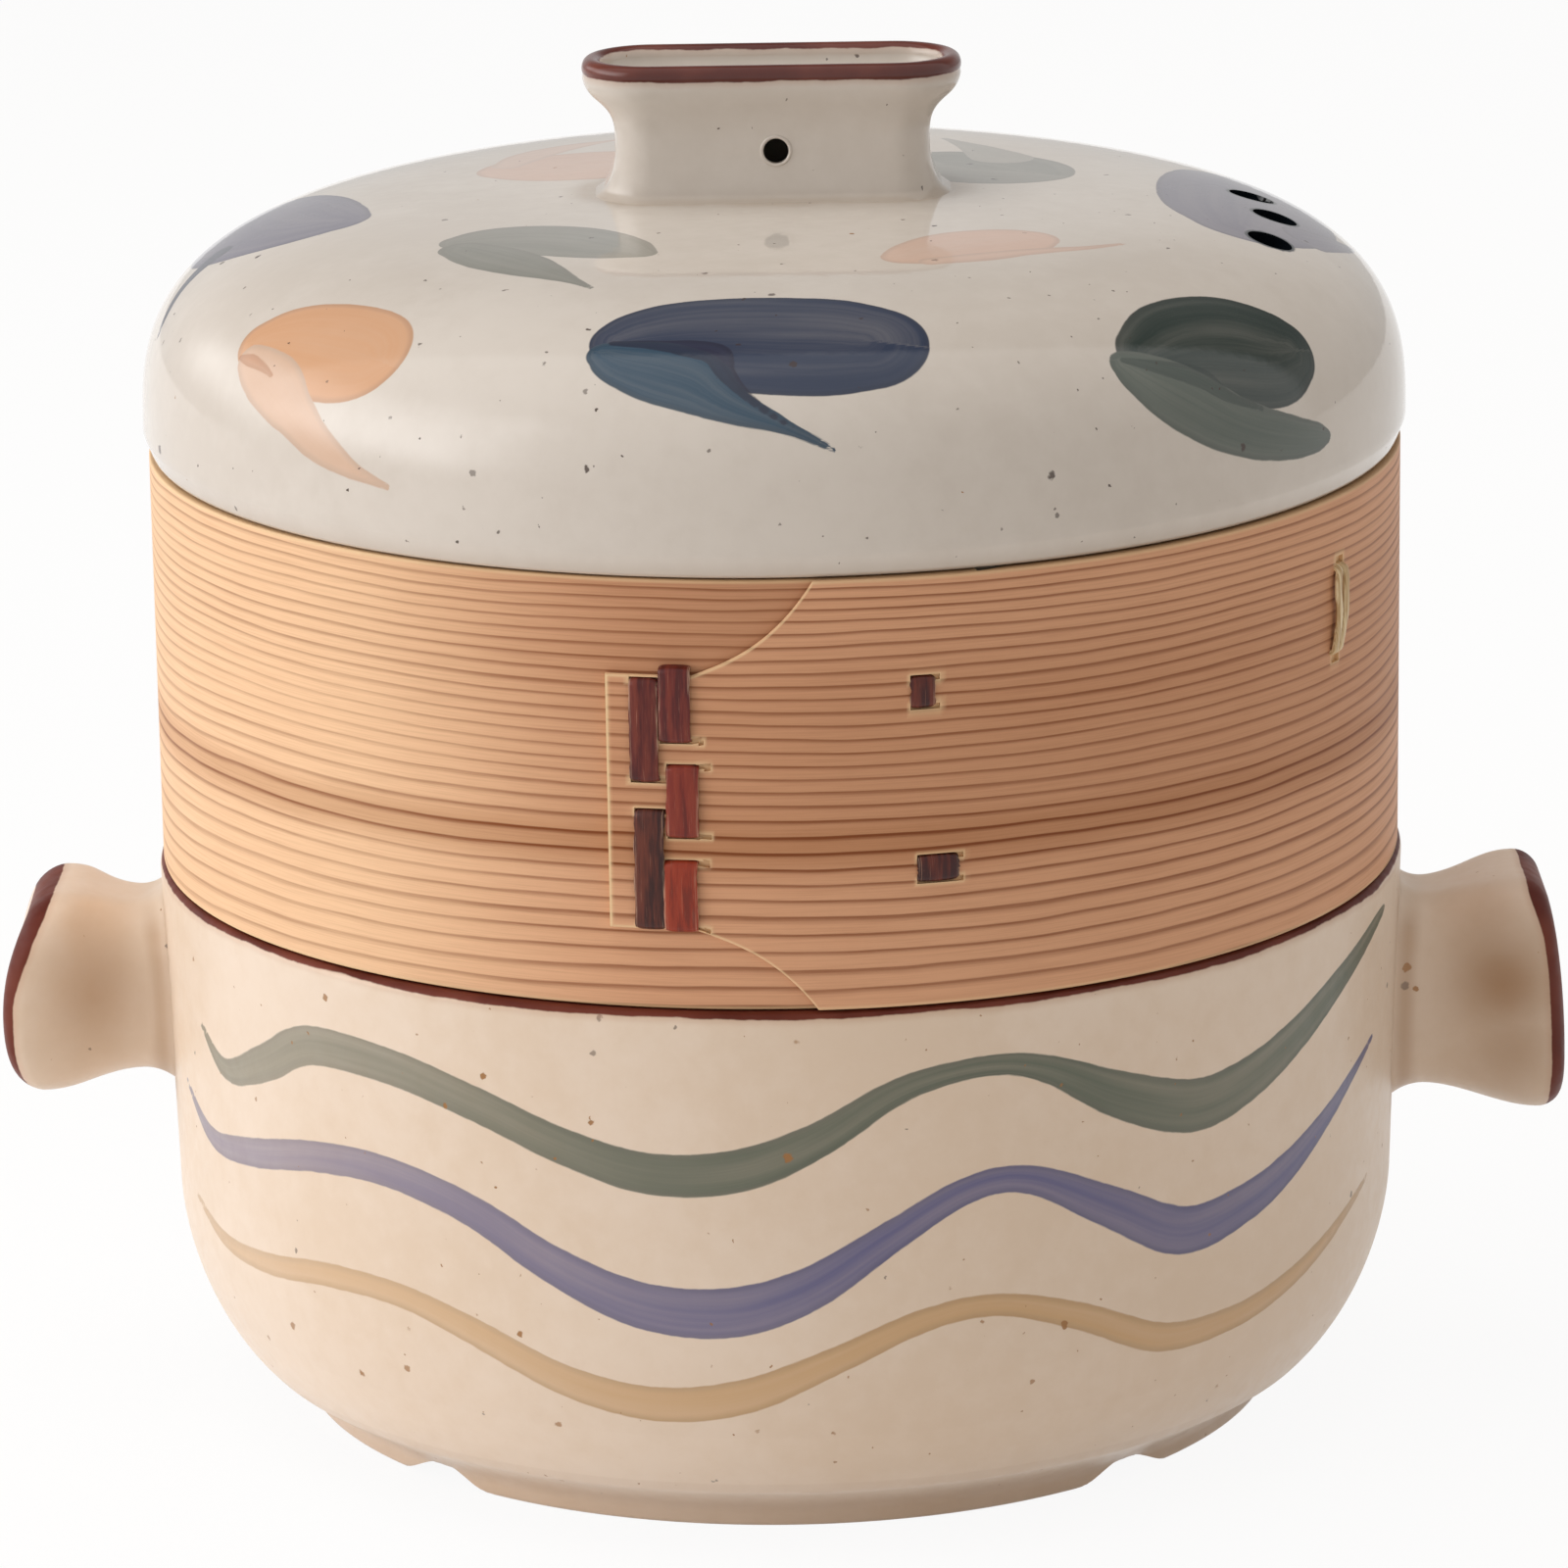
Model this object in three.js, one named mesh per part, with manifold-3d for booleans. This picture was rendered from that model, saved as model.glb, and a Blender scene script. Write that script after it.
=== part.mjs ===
// Ceramic steamer pot: a glazed pot with two lug handles, a bentwood steamer tier and a domed lid.
// Millimetres, +Z up. The origin is the centre of the foot's underside, and the front faces -Y.
// An angle called a bearing is measured from the front towards +X, in degrees.

import * as THREE from "three";
import { mergeVertices } from "three/addons/utils/BufferGeometryUtils.js";
import Module from "manifold-3d";

const wasm = await Module();
wasm.setup();

// Gaps between pieces, and the overrun of every cut
const seatGap = 0.3;
const slideGap = 0.8;
const strapGap = 0.25;
const cutOverrun = 2;

// Pot. Its rim stands out a little past the hoop, and its belly lies a little inside the rim.
// It is one fired piece, given as a base and a wall that meet face to face at the base's height
const potHeight = 101;
const potWall = 6;
const potFloor = 7;
const potBaseHeight = 30;
const footRadius = 89.6;
const footWidth = 10.5;
const footHeight = 5.2;
const footEdge = 0.8;
const notchWidth = 24.4;
const notchHeight = 3.6;
const notchBearing = 42.75;
const notchTurn = -0.85;
const footStep = 1.4;
const bellyInset = 1.7;
const bellyHeight = 40;
const bellyPower = 1.72;
const rimOverhang = 0.6;
const rimRound = 1.8;
const ledgeWidth = 4.4;
const floorCornerRadius = 34;

// Lug handles. Each is a fired lump with a waist, a flared end and a shallow dish in the end.
// The drop is from the rim to the middle of the lug
const lugLength = 30.9;
const lugRootDepth = 2.8;
const lugWaistDepth = 31;
const lugFlareDepth = 40;
const lugCorner = 11;
const lugRootFlare = 2.2;
const lugLip = 4;
const lugDish = 1.8;
const lugNeckShares = [
  [0.02, 0, 0.7],
  [0.1, 0.01, 0.15],
  [0.3, 0.05, 0],
  [0.55, 0.32, 0],
  [0.75, 0.74, 0],
  [0.9, 0.96, 0],
];
const lugLipShares = [[1, 0], [0.5, 0.14], [0.14, 0.5], [0, 1]];
const lugDishShares = [[0.5, 1.7], [1, 2.6]];
const leftLug = { side: -1, drop: 25.4, waistHeight: 31.6, flareHeight: 37, shorter: 0.6, lean: 1.8, bow: 4.6 };
const rightLug = { side: 1, drop: 29.7, waistHeight: 36.2, flareHeight: 43, shorter: 0.4, lean: 1.5, bow: 1.5 };

// Steamer tier: one outer board and two inner boards, bent to hoops
const hoopRadius = 112.5;
const hoopHeight = 74.7;
const boardThickness = 3.2;
const tongueThickness = 0.9;
const lapGap = 0.3;
const tongueEndBearing = -14.9;
const tongueNeckBearing = -7.4;
const lapShoulderBearing = 3.1;
const hiddenEndBearing = 17.5;
const lapRunBearing = 4.5;
const lapSettleBearing = 60;
const tongueBottomShare = 0.19;
const tongueTopShare = 0.783;
const lapCurveShare = 0.5;
const innerLapBearing = 9;
const spigotDepth = 6;
const shelfHeight = 11.7;

// Slatted shelf. The slats share the width of the hoop between the two side gaps
const slatCount = 14;
const slatGap = 3;
const slatSideGap = 5.8;
const slatThickness = 3.4;
const bearerWidth = 13;
const bearerThickness = 5;
const bearerOffset = 37.5;

// Bark lacing and stitches, and the cane tie. A share is of the outer hoop's height, from its lower edge
const barkThickness = 0.7;
const barkWidth = 5.3;
const barkTail = 3;
const lacingBearing = -8.6;
const lacingGap = 0.4;
const leftStitchShares = [[0.194, 0.467], [0.539, 0.772]];
const rightStitchShares = [[0.191, 0.349], [0.411, 0.572], [0.632, 0.799]];
const upperStitch = { bearing: 12.4, width: 4.2, endShares: [0.699, 0.766] };
const lowerStitch = { bearing: 13.6, width: 7.2, endShares: [0.293, 0.348] };
const caneThickness = 1;
const caneTie = { bearing: 60, width: 2.4, endShares: [0.584, 0.859] };

// Lid. It stands out past the hoop and draws in to its lower edge
const lidOverhang = 0.9;
const lidEdgeInset = 1.1;
const lidEdgeHeight = 4.3;
const lidCrown = 40;
const lidWall = 6;
const lidSidePower = 4.5;
const lidTopPower = 2.85;
const flangeDepth = 6;
const flangeWidth = 5;
const ventRadius = 4.1;
const vents = [
  { bearing: 74.8, inset: 22.5 },
  { bearing: 87.1, inset: 23.6 },
  { bearing: 97, inset: 26.7 },
];
const ventTilt = 27;

// Knob: oblong in plan, hollow, with a rolled lip round a shallow recess. Its ends are waisted deeply,
// and its long faces only by a share of that
const knobWidth = 67.6;
const knobOffset = 0.4;
const knobDepth = 26.4;
const knobHeight = 24.4;
const knobCorner = 12.4;
const knobFaceShare = 0.3;
const knobBaseInset = 3.2;
const knobWaistInset = 5.8;
const knobLipRadius = 1.9;
const knobLipDrop = 2.9;
const knobShoulderDrop = 5.6;
const knobRecess = 5;
const knobWall = 3.6;
const knobFoot = 3;
const knobFootShares = [[0, 0], [0.3, 0.4], [1.2, 0.72], [2.2, 0.95]];
const knobShoulderShares = [[0, 1], [0.3, 0.86], [0.68, 0.42], [0.92, 0.12]];
const knobRecessShares = [[0.06, 2.3], [0, 2.9]];
const pinHoleRadius = 2.5;
const pinHoleHeight = 8.9;
const pinHoleOffset = 1;

// Steps of the round forms
const turnSteps = 56;
const boardSteps = 88;
const cornerSteps = 5;
const curveSteps = 9;
const holeSteps = 16;

// The two straps lie side by side at the tongue's neck
const lacingStep = THREE.MathUtils.radToDeg((barkWidth + lacingGap) / hoopRadius);
const leftLacing = { bearing: lacingBearing - lacingStep, stitchShares: leftStitchShares };
const rightLacing = { bearing: lacingBearing, stitchShares: rightStitchShares };

// Radii that follow the hoop
const rimRadius = hoopRadius + rimOverhang;
const bellyRadius = rimRadius - bellyInset;
const bellyStartRadius = footRadius + footStep;
const lugReach = bellyRadius + lugLength;
const lidRadius = hoopRadius + lidOverhang;
const lidEdgeRadius = lidRadius - lidEdgeInset;

// Heights of the stack, from the floor
const hoopBottom = potHeight + seatGap;
const hoopTop = hoopBottom + hoopHeight;
const hoopBore = hoopRadius - boardThickness;
const innerBoardRadius = hoopBore - seatGap;
const innerBore = innerBoardRadius - boardThickness;
const spigotBottom = hoopBottom - spigotDepth;
const shelfBottom = hoopBottom + shelfHeight;
const shelfTop = shelfBottom + slatThickness;
const upperHoopTop = hoopTop - spigotDepth - slideGap;
const mouthRadius = innerBoardRadius + slideGap;
const lidBottom = hoopTop + seatGap;
const lidWidestHeight = lidBottom + lidEdgeHeight;
const lidTop = lidWidestHeight + lidCrown;
const slatWidth = (2 * (hoopBore - slatSideGap) + slatGap) / slatCount - slatGap;

const radians = THREE.MathUtils.degToRad;

// A closed geometry with shared vertices and no collapsed triangle
function weld(geometry) {
  const bare = geometry.index ? geometry.toNonIndexed() : geometry;
  bare.deleteAttribute("normal");
  bare.deleteAttribute("uv");
  const merged = mergeVertices(bare);
  const corners = merged.index.array;
  const kept = [];
  for (let i = 0; i < corners.length; i += 3) {
    const [a, b, c] = [corners[i], corners[i + 1], corners[i + 2]];
    if (a !== b && b !== c && c !== a) kept.push(a, b, c);
  }
  merged.setIndex(kept);
  return merged;
}

// The solid that a closed geometry bounds, ready to join or cut
function solidOf(geometry) {
  const welded = weld(geometry);
  const vertProperties = new Float32Array(welded.attributes.position.array);
  const triVerts = new Uint32Array(welded.index.array);
  return new wasm.Manifold(new wasm.Mesh({ numProp: 3, vertProperties, triVerts }));
}

// The geometry of a joined or cut solid
function geometryOf(solid) {
  const mesh = solid.getMesh();
  const geometry = new THREE.BufferGeometry();
  geometry.setAttribute("position", new THREE.Float32BufferAttribute(mesh.vertProperties, mesh.numProp));
  geometry.setIndex(Array.from(mesh.triVerts));
  geometry.computeVertexNormals();
  return geometry;
}

// A skin over rings of points, closed by a fan at each end
function loft(rings) {
  const size = rings[0].length;
  const points = rings.flat();
  const index = [];
  for (let i = 0; i + 1 < rings.length; i += 1) {
    for (let k = 0; k < size; k += 1) {
      const here = i * size + k;
      const next = i * size + ((k + 1) % size);
      index.push(here, next, next + size, here, next + size, here + size);
    }
  }
  for (const end of [0, rings.length - 1]) {
    const centre = new THREE.Vector3();
    for (const point of rings[end]) centre.addScaledVector(point, 1 / size);
    points.push(centre);
    for (let k = 0; k < size; k += 1) {
      const here = end * size + k;
      const next = end * size + ((k + 1) % size);
      if (end === 0) index.push(points.length - 1, next, here);
      else index.push(points.length - 1, here, next);
    }
  }
  const geometry = new THREE.BufferGeometry().setFromPoints(points);
  geometry.setIndex(index);
  return geometry;
}

// A profile of [radius, height] points from axis to axis, turned about +Z
function turned(profile) {
  const points = profile.map(([radius, height]) => new THREE.Vector2(radius, height));
  return new THREE.LatheGeometry(points, turnSteps).rotateX(Math.PI / 2);
}

// Points of a quarter arc between two axes of a superellipse, from its side to its top
function quarterCurve(centre, halfWidth, halfHeight, widthPower, heightPower, steps) {
  const points = [];
  for (let i = 0; i <= steps; i += 1) {
    const turn = (Math.PI / 2) * (i / steps);
    const across = halfWidth * Math.cos(turn) ** (2 / widthPower);
    const up = halfHeight * Math.sin(turn) ** (2 / heightPower);
    points.push([centre[0] + across, centre[1] + up]);
  }
  return points;
}

// A rounded rectangle as [across, up] points, anticlockwise
function roundedOutline(halfAcross, halfUp, corner) {
  const points = [];
  const radius = Math.min(corner, halfAcross, halfUp);
  for (let quarter = 0; quarter < 4; quarter += 1) {
    const signAcross = quarter === 0 || quarter === 3 ? 1 : -1;
    const signUp = quarter < 2 ? 1 : -1;
    for (let i = 0; i <= cornerSteps; i += 1) {
      const turn = (Math.PI / 2) * (quarter + i / cornerSteps);
      const across = signAcross * (halfAcross - radius) + radius * Math.cos(turn);
      const up = signUp * (halfUp - radius) + radius * Math.sin(turn);
      points.push([across, up]);
    }
  }
  return points;
}

// The place at a bearing, a radius and a height
function placeAt(bearing, radius, height) {
  const turn = radians(bearing);
  return new THREE.Vector3(radius * Math.sin(turn), -radius * Math.cos(turn), height);
}

// A block that faces outward at a bearing, between two radii and two heights
function blockAt(bearing, width, innerRadius, outerRadius, low, high) {
  const geometry = new THREE.BoxGeometry(width, outerRadius - innerRadius, high - low);
  geometry.translate(0, -(outerRadius + innerRadius) / 2, (low + high) / 2);
  return solidOf(geometry.rotateZ(radians(bearing)));
}

function joined(solids) {
  return solids.reduce((sum, solid) => sum.add(solid));
}

function cutAway(body, cuts) {
  return cuts.reduce((rest, cut) => rest.subtract(cut), body);
}

// Pot

// The outer wall from the foot to the rounded rim
function potOuterProfile() {
  const foot = [
    [0, footHeight],
    [footRadius - footWidth, footHeight],
    [footRadius - footWidth, footEdge],
    [footRadius - footWidth + footEdge, 0],
    [footRadius - footEdge, 0],
    [footRadius, footEdge],
    [footRadius, footHeight - footEdge],
  ];
  const belly = quarterCurve(
    [bellyStartRadius, bellyHeight],
    bellyRadius - bellyStartRadius,
    footHeight - bellyHeight,
    bellyPower,
    bellyPower,
    curveSteps,
  ).reverse();
  const rimCentre = [rimRadius - rimRound, potHeight - rimRound];
  const rim = quarterCurve(rimCentre, rimRound, rimRound, 2, 2, 3);
  return [...foot, ...belly, ...rim];
}

// The inner wall from the mouth's step down to the floor
function potInnerProfile() {
  const ledgeHeight = potHeight - spigotDepth - slideGap;
  const innerRadius = bellyRadius - potWall;
  const floorHeight = footHeight + potFloor;
  const mouth = [
    [mouthRadius, potHeight],
    [mouthRadius, ledgeHeight],
    [mouthRadius - ledgeWidth, ledgeHeight - ledgeWidth],
  ];
  const corner = quarterCurve(
    [innerRadius - floorCornerRadius, floorHeight + floorCornerRadius],
    floorCornerRadius,
    -floorCornerRadius,
    2,
    2,
    curveSteps - 2,
  );
  return [...mouth, ...corner, [0, floorHeight]];
}

// One lug handle, lofted outward from inside the pot's wall
function lugSolid({ side, drop, waistHeight, flareHeight, shorter, lean, bow }) {
  const middle = potHeight - drop;
  const waist = [lugWaistDepth / 2, waistHeight / 2];
  const flare = [lugFlareDepth / 2, flareHeight / 2];
  const neckLength = lugReach - lugLip - bellyRadius;
  // A level is a reach from the pot's axis, its share of the way from waist to flare, and a growth
  const levels = [[bellyRadius - lugRootDepth, 0, lugRootFlare]];
  for (const [way, flareShare, rootShare] of lugNeckShares) {
    levels.push([bellyRadius + neckLength * way, flareShare, lugRootFlare * rootShare]);
  }
  for (const [back, drawn] of lugLipShares) levels.push([lugReach - lugLip * back, 1, -lugLip * drawn]);
  for (const [back, drawn] of lugDishShares) levels.push([lugReach - lugDish * back, 1, -lugLip * drawn]);
  const rings = levels.map(([reach, flareShare, growth]) => {
    const halfDepth = THREE.MathUtils.lerp(waist[0], flare[0], flareShare) + growth;
    const halfHeight = THREE.MathUtils.lerp(waist[1], flare[1], flareShare) + growth;
    const outline = roundedOutline(halfDepth, halfHeight, Math.max(lugCorner + growth, lugLip));
    return outline.map(([across, up]) => {
      const level = up / flare[1];
      const shaped = reach - flareShare * (shorter + lean * level + bow * level * level);
      return new THREE.Vector3(side * shaped, side * across, middle + up);
    });
  });
  return solidOf(loft(rings));
}

// A shallow bell cut through the foot ring
function footNotch(bearing) {
  const shape = new THREE.Shape();
  shape.moveTo(-notchWidth / 2, -cutOverrun);
  shape.lineTo(notchWidth / 2, -cutOverrun);
  shape.lineTo(notchWidth / 2, 0);
  shape.bezierCurveTo(notchWidth / 4, 0, notchWidth / 4, notchHeight, 0, notchHeight);
  shape.bezierCurveTo(-notchWidth / 4, notchHeight, -notchWidth / 4, 0, -notchWidth / 2, 0);
  shape.lineTo(-notchWidth / 2, -cutOverrun);
  const depth = footWidth + cutOverrun * 2;
  const geometry = new THREE.ExtrudeGeometry(shape, { depth, bevelEnabled: false, curveSegments: 5 });
  geometry.rotateX(Math.PI / 2);
  geometry.translate(0, -(footRadius - footWidth - cutOverrun), 0);
  return solidOf(geometry.rotateZ(radians(bearing)));
}

// The wall with its handles, and the base with its foot
function potParts() {
  const bowl = solidOf(turned([...potOuterProfile(), ...potInnerProfile()]));
  const bearings = [notchBearing, -notchBearing, 180 - notchBearing, notchBearing - 180];
  const notches = bearings.map((bearing) => footNotch(bearing + notchTurn));
  const body = cutAway(joined([bowl, lugSolid(leftLug), lugSolid(rightLug)]), notches);
  return body.splitByPlane([0, 0, 1], potBaseHeight);
}

// Boards

// A board bent to a hoop with its ends lapped: the outer end is a thin tongue.
// The edges function gives the board's lower and upper edge at a bearing
function bentBoard({ radius, tongue, lapStart, lapEnd, edges, edgeBearings }) {
  const turnEnd = 360 + lapEnd;
  const tongueEnd = 360 + lapStart;
  const bearings = [lapEnd, lapEnd + lapRunBearing, tongueEnd, turnEnd, ...edgeBearings];
  for (let i = 0; i < boardSteps; i += 1) bearings.push(lapStart + ((turnEnd - lapStart) * i) / boardSteps);
  bearings.sort((a, b) => a - b);
  const spaced = bearings.filter((bearing, i) => i === 0 || bearing - bearings[i - 1] > 1 / boardSteps);
  const rings = spaced.map((bearing) => {
    const drop = THREE.MathUtils.smoothstep(bearing, tongueEnd - lapSettleBearing, tongueEnd);
    const thin = 1 - THREE.MathUtils.smoothstep(bearing, lapEnd, lapEnd + lapRunBearing);
    const outer = radius - drop * (tongue + lapGap);
    const inner = radius - THREE.MathUtils.lerp(boardThickness, tongue, thin);
    const [bottom, top] = edges(bearing);
    const section = [[inner, bottom], [inner, top], [outer, top], [outer, bottom]];
    return section.map(([reach, height]) => placeAt(bearing, reach, height));
  });
  return solidOf(loft(rings));
}

// The visible lap's edges: a narrow tongue that widens to the full board in two hollow curves
function tongueEdges(bearing) {
  const way = (bearing - tongueNeckBearing) / (lapShoulderBearing - tongueNeckBearing);
  const across = THREE.MathUtils.clamp(way, 0, 1);
  const widen = THREE.MathUtils.lerp(across, across ** 3, lapCurveShare);
  const bottom = THREE.MathUtils.lerp(hoopBottom + hoopHeight * tongueBottomShare, hoopBottom, widen);
  const top = THREE.MathUtils.lerp(hoopBottom + hoopHeight * tongueTopShare, hoopTop, widen);
  return [bottom, top];
}

// Lacing

// Inner channel and outer face of the bark where it is laced through the outer hoop
const barkOutside = hoopRadius + seatGap;
const barkInside = hoopBore + seatGap;

// The height of a share of the outer hoop's height
function heightOnHoop(share) {
  return hoopBottom + hoopHeight * share;
}

// The heights at which a strap goes through the hoop, one pair for each of its stitches
function stitchHeights(lacing) {
  return lacing.stitchShares.map((ends) => ends.map(heightOnHoop));
}

// The lowest and the highest end of a strap, with its tails
function strapEnds(lacing) {
  const heights = stitchHeights(lacing);
  return [heights[0][0] - barkTail, heights[heights.length - 1][1] + barkTail];
}

// The blocks of one strap: stitches outside, runs inside between them, and a leg at each turn
function strapBlocks(lacing, grow) {
  const { bearing } = lacing;
  const stitches = stitchHeights(lacing);
  const [tailLow, tailHigh] = strapEnds(lacing);
  const width = barkWidth + grow * 2;
  const outerFace = barkOutside + barkThickness;
  const blocks = [];
  const turns = [tailLow, ...stitches.flat(), tailHigh];
  for (let i = 0; i < turns.length; i += 2) {
    const from = turns[i] - barkThickness / 2 - grow;
    const to = turns[i + 1] + barkThickness / 2 + grow;
    blocks.push(blockAt(bearing, width, barkInside - grow, barkInside + barkThickness + grow, from, to));
  }
  for (const [low, high] of stitches) {
    for (const middle of [low, high]) {
      const reach = barkThickness / 2 + grow;
      blocks.push(blockAt(bearing, width, barkInside - grow, outerFace, middle - reach, middle + reach));
    }
    const from = low - barkThickness / 2;
    const to = high + barkThickness / 2;
    if (grow === 0) blocks.push(blockAt(bearing, width, barkOutside, outerFace, from, to));
  }
  return blocks;
}

function strap(lacing) {
  return joined(strapBlocks(lacing, 0));
}

// A staple or loop: a face outside, a leg at each end and, on a loop, a run inside
function loopBlocks({ bearing, width, endShares }, thickness, innerFace, grow) {
  const outerFace = hoopRadius + seatGap + thickness;
  const [from, to] = endShares.map(heightOnHoop);
  const blocks = [from, to].map((middle) => {
    const reach = thickness / 2 + grow;
    return blockAt(bearing, width + grow * 2, innerFace - grow, outerFace, middle - reach, middle + reach);
  });
  if (grow > 0) return blocks;
  const ends = [from - thickness / 2, to + thickness / 2];
  blocks.push(blockAt(bearing, width, hoopRadius + seatGap, outerFace, ...ends));
  blocks.push(blockAt(bearing, width, innerFace, innerFace + thickness, ...ends));
  return blocks;
}

// The channel that lets a stitch's inner run lie below the hoop's bore
function stitchCuts(stitch) {
  const { bearing, width, endShares } = stitch;
  const [low, high] = endShares.map(heightOnHoop);
  const reach = barkThickness / 2 + strapGap;
  const ends = [low - reach, high + reach];
  const depth = barkInside + barkThickness + strapGap;
  const channel = blockAt(bearing, width + strapGap * 2, hoopBore - cutOverrun, depth, ...ends);
  return [...loopBlocks(stitch, barkThickness, barkInside, strapGap), channel];
}

// The channel and slits for one strap, open to the hoop's bore
function strapCuts(lacing) {
  const blocks = strapBlocks(lacing, strapGap);
  const [low, high] = strapEnds(lacing);
  const reach = barkThickness / 2 + strapGap;
  const ends = [low - reach, high + reach];
  const width = barkWidth + strapGap * 2;
  const depth = barkInside + barkThickness + strapGap;
  return [...blocks, blockAt(lacing.bearing, width, hoopBore - cutOverrun, depth, ...ends)];
}

const caneInnerFace = innerBore - seatGap - caneThickness;

function outerHoop() {
  const lapSpan = lapShoulderBearing - tongueNeckBearing;
  const edgeBearings = Array.from({ length: curveSteps }, (_, i) => {
    return tongueNeckBearing + (lapSpan * i) / (curveSteps - 1);
  });
  const board = bentBoard({
    radius: hoopRadius,
    tongue: tongueThickness,
    lapStart: tongueEndBearing,
    lapEnd: hiddenEndBearing,
    edges: tongueEdges,
    edgeBearings,
  });
  const laced = [...strapCuts(leftLacing), ...strapCuts(rightLacing)];
  const stitched = [...stitchCuts(upperStitch), ...stitchCuts(lowerStitch)];
  const tied = loopBlocks(caneTie, caneThickness, caneInnerFace, strapGap);
  return cutAway(board, [...laced, ...stitched, ...tied]);
}

function innerHoop(low, high) {
  const board = bentBoard({
    radius: innerBoardRadius,
    tongue: (boardThickness - lapGap) / 2,
    lapStart: -innerLapBearing,
    lapEnd: innerLapBearing,
    edges: () => [low, high],
    edgeBearings: [],
  });
  return board.rotate([0, 0, 180]);
}

function upperInnerHoop() {
  const board = innerHoop(shelfTop + seatGap, upperHoopTop);
  return cutAway(board, loopBlocks(caneTie, caneThickness, caneInnerFace, strapGap));
}

function lowerInnerHoop() {
  const top = shelfBottom - seatGap;
  const notches = [-bearerOffset, bearerOffset].map((offset) => {
    const width = bearerWidth + seatGap * 2;
    const depth = bearerThickness + seatGap;
    const geometry = new THREE.BoxGeometry(width, hoopRadius * 2, depth + cutOverrun);
    return solidOf(geometry.translate(offset, 0, top - depth + (depth + cutOverrun) / 2));
  });
  return cutAway(innerHoop(spigotBottom, top), notches);
}

// Shelf

// A strip across the tier, its ends cut slantwise to follow the hoop
function crossStrip(offset, width, thickness, bottom) {
  const reach = hoopBore - slideGap;
  const corners = [offset - width / 2, offset + width / 2].map((across) => {
    return [Math.sqrt(reach * reach - across * across), across];
  });
  const shape = new THREE.Shape();
  shape.moveTo(-corners[0][0], corners[0][1]);
  shape.lineTo(corners[0][0], corners[0][1]);
  shape.lineTo(corners[1][0], corners[1][1]);
  shape.lineTo(-corners[1][0], corners[1][1]);
  shape.closePath();
  const strip = new THREE.ExtrudeGeometry(shape, { depth: thickness, bevelEnabled: false });
  return strip.translate(0, 0, bottom);
}

function slat(number) {
  const offset = (number - (slatCount - 1) / 2) * (slatWidth + slatGap);
  return solidOf(crossStrip(offset, slatWidth, slatThickness, shelfBottom));
}

function bearer(offset) {
  const bottom = shelfBottom - seatGap - bearerThickness;
  return solidOf(crossStrip(offset, bearerWidth, bearerThickness, bottom).rotateZ(Math.PI / 2));
}

// Lid

function lidOuterProfile() {
  return quarterCurve([0, lidWidestHeight], lidRadius, lidCrown, lidSidePower, lidTopPower, curveSteps + 3);
}

function lidInnerProfile() {
  const inside = lidRadius - lidWall;
  const flangeRadius = hoopBore - slideGap;
  const flangeBore = flangeRadius - flangeWidth;
  const flangeBottom = lidBottom - flangeDepth;
  const dome = quarterCurve(
    [0, lidWidestHeight],
    Math.min(inside, flangeBore + flangeWidth / 2),
    lidCrown - lidWall,
    lidSidePower,
    lidTopPower,
    curveSteps,
  ).reverse();
  return [
    ...dome,
    [flangeBore, lidBottom],
    [flangeBore, flangeBottom + footEdge],
    [flangeBore + footEdge, flangeBottom],
    [flangeRadius - footEdge, flangeBottom],
    [flangeRadius, flangeBottom + footEdge],
    [flangeRadius, lidBottom],
    [lidEdgeRadius - footEdge, lidBottom],
    [lidEdgeRadius, lidBottom + footEdge],
  ];
}

// One ring of the knob: a rounded oblong, drawn in by an inset at its ends and another at its faces
function knobRing(inset, height, faceInset) {
  const outline = roundedOutline(knobWidth / 2 - inset, knobDepth / 2 - faceInset, knobCorner - inset);
  return outline.map(([across, up]) => new THREE.Vector3(knobOffset + across, up, lidTop + height));
}

function knobOuter() {
  const lipCentre = knobHeight - knobLipRadius;
  const lipBottom = lipCentre - knobLipDrop;
  const waistTop = lipBottom - knobShoulderDrop;
  const recessFloor = knobHeight - knobRecess;
  const rings = [];
  // A level is an inset, a height over the crown of the lid, and the share of the inset at the faces
  function addLevel(inset, height, faceShare) {
    rings.push(knobRing(inset, height, inset * faceShare));
  }
  addLevel(knobBaseInset, -lidWall / 2, knobFaceShare);
  for (const [up, drawn] of knobFootShares) {
    addLevel(THREE.MathUtils.lerp(knobBaseInset, knobWaistInset, drawn), knobFoot * up, knobFaceShare);
  }
  for (const [up, drawn] of knobShoulderShares) {
    addLevel(knobWaistInset * drawn, waistTop + knobShoulderDrop * up, knobFaceShare);
  }
  addLevel(0, lipBottom, 1);
  for (let i = 0; i <= cornerSteps; i += 1) {
    const turn = Math.PI * (i / cornerSteps);
    addLevel(knobLipRadius * (1 - Math.cos(turn)), lipCentre + knobLipRadius * Math.sin(turn), 1);
  }
  for (const [up, drawn] of knobRecessShares) {
    addLevel(knobLipRadius * drawn, recessFloor + knobRecess * up, 1);
  }
  return solidOf(loft(rings));
}

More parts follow.
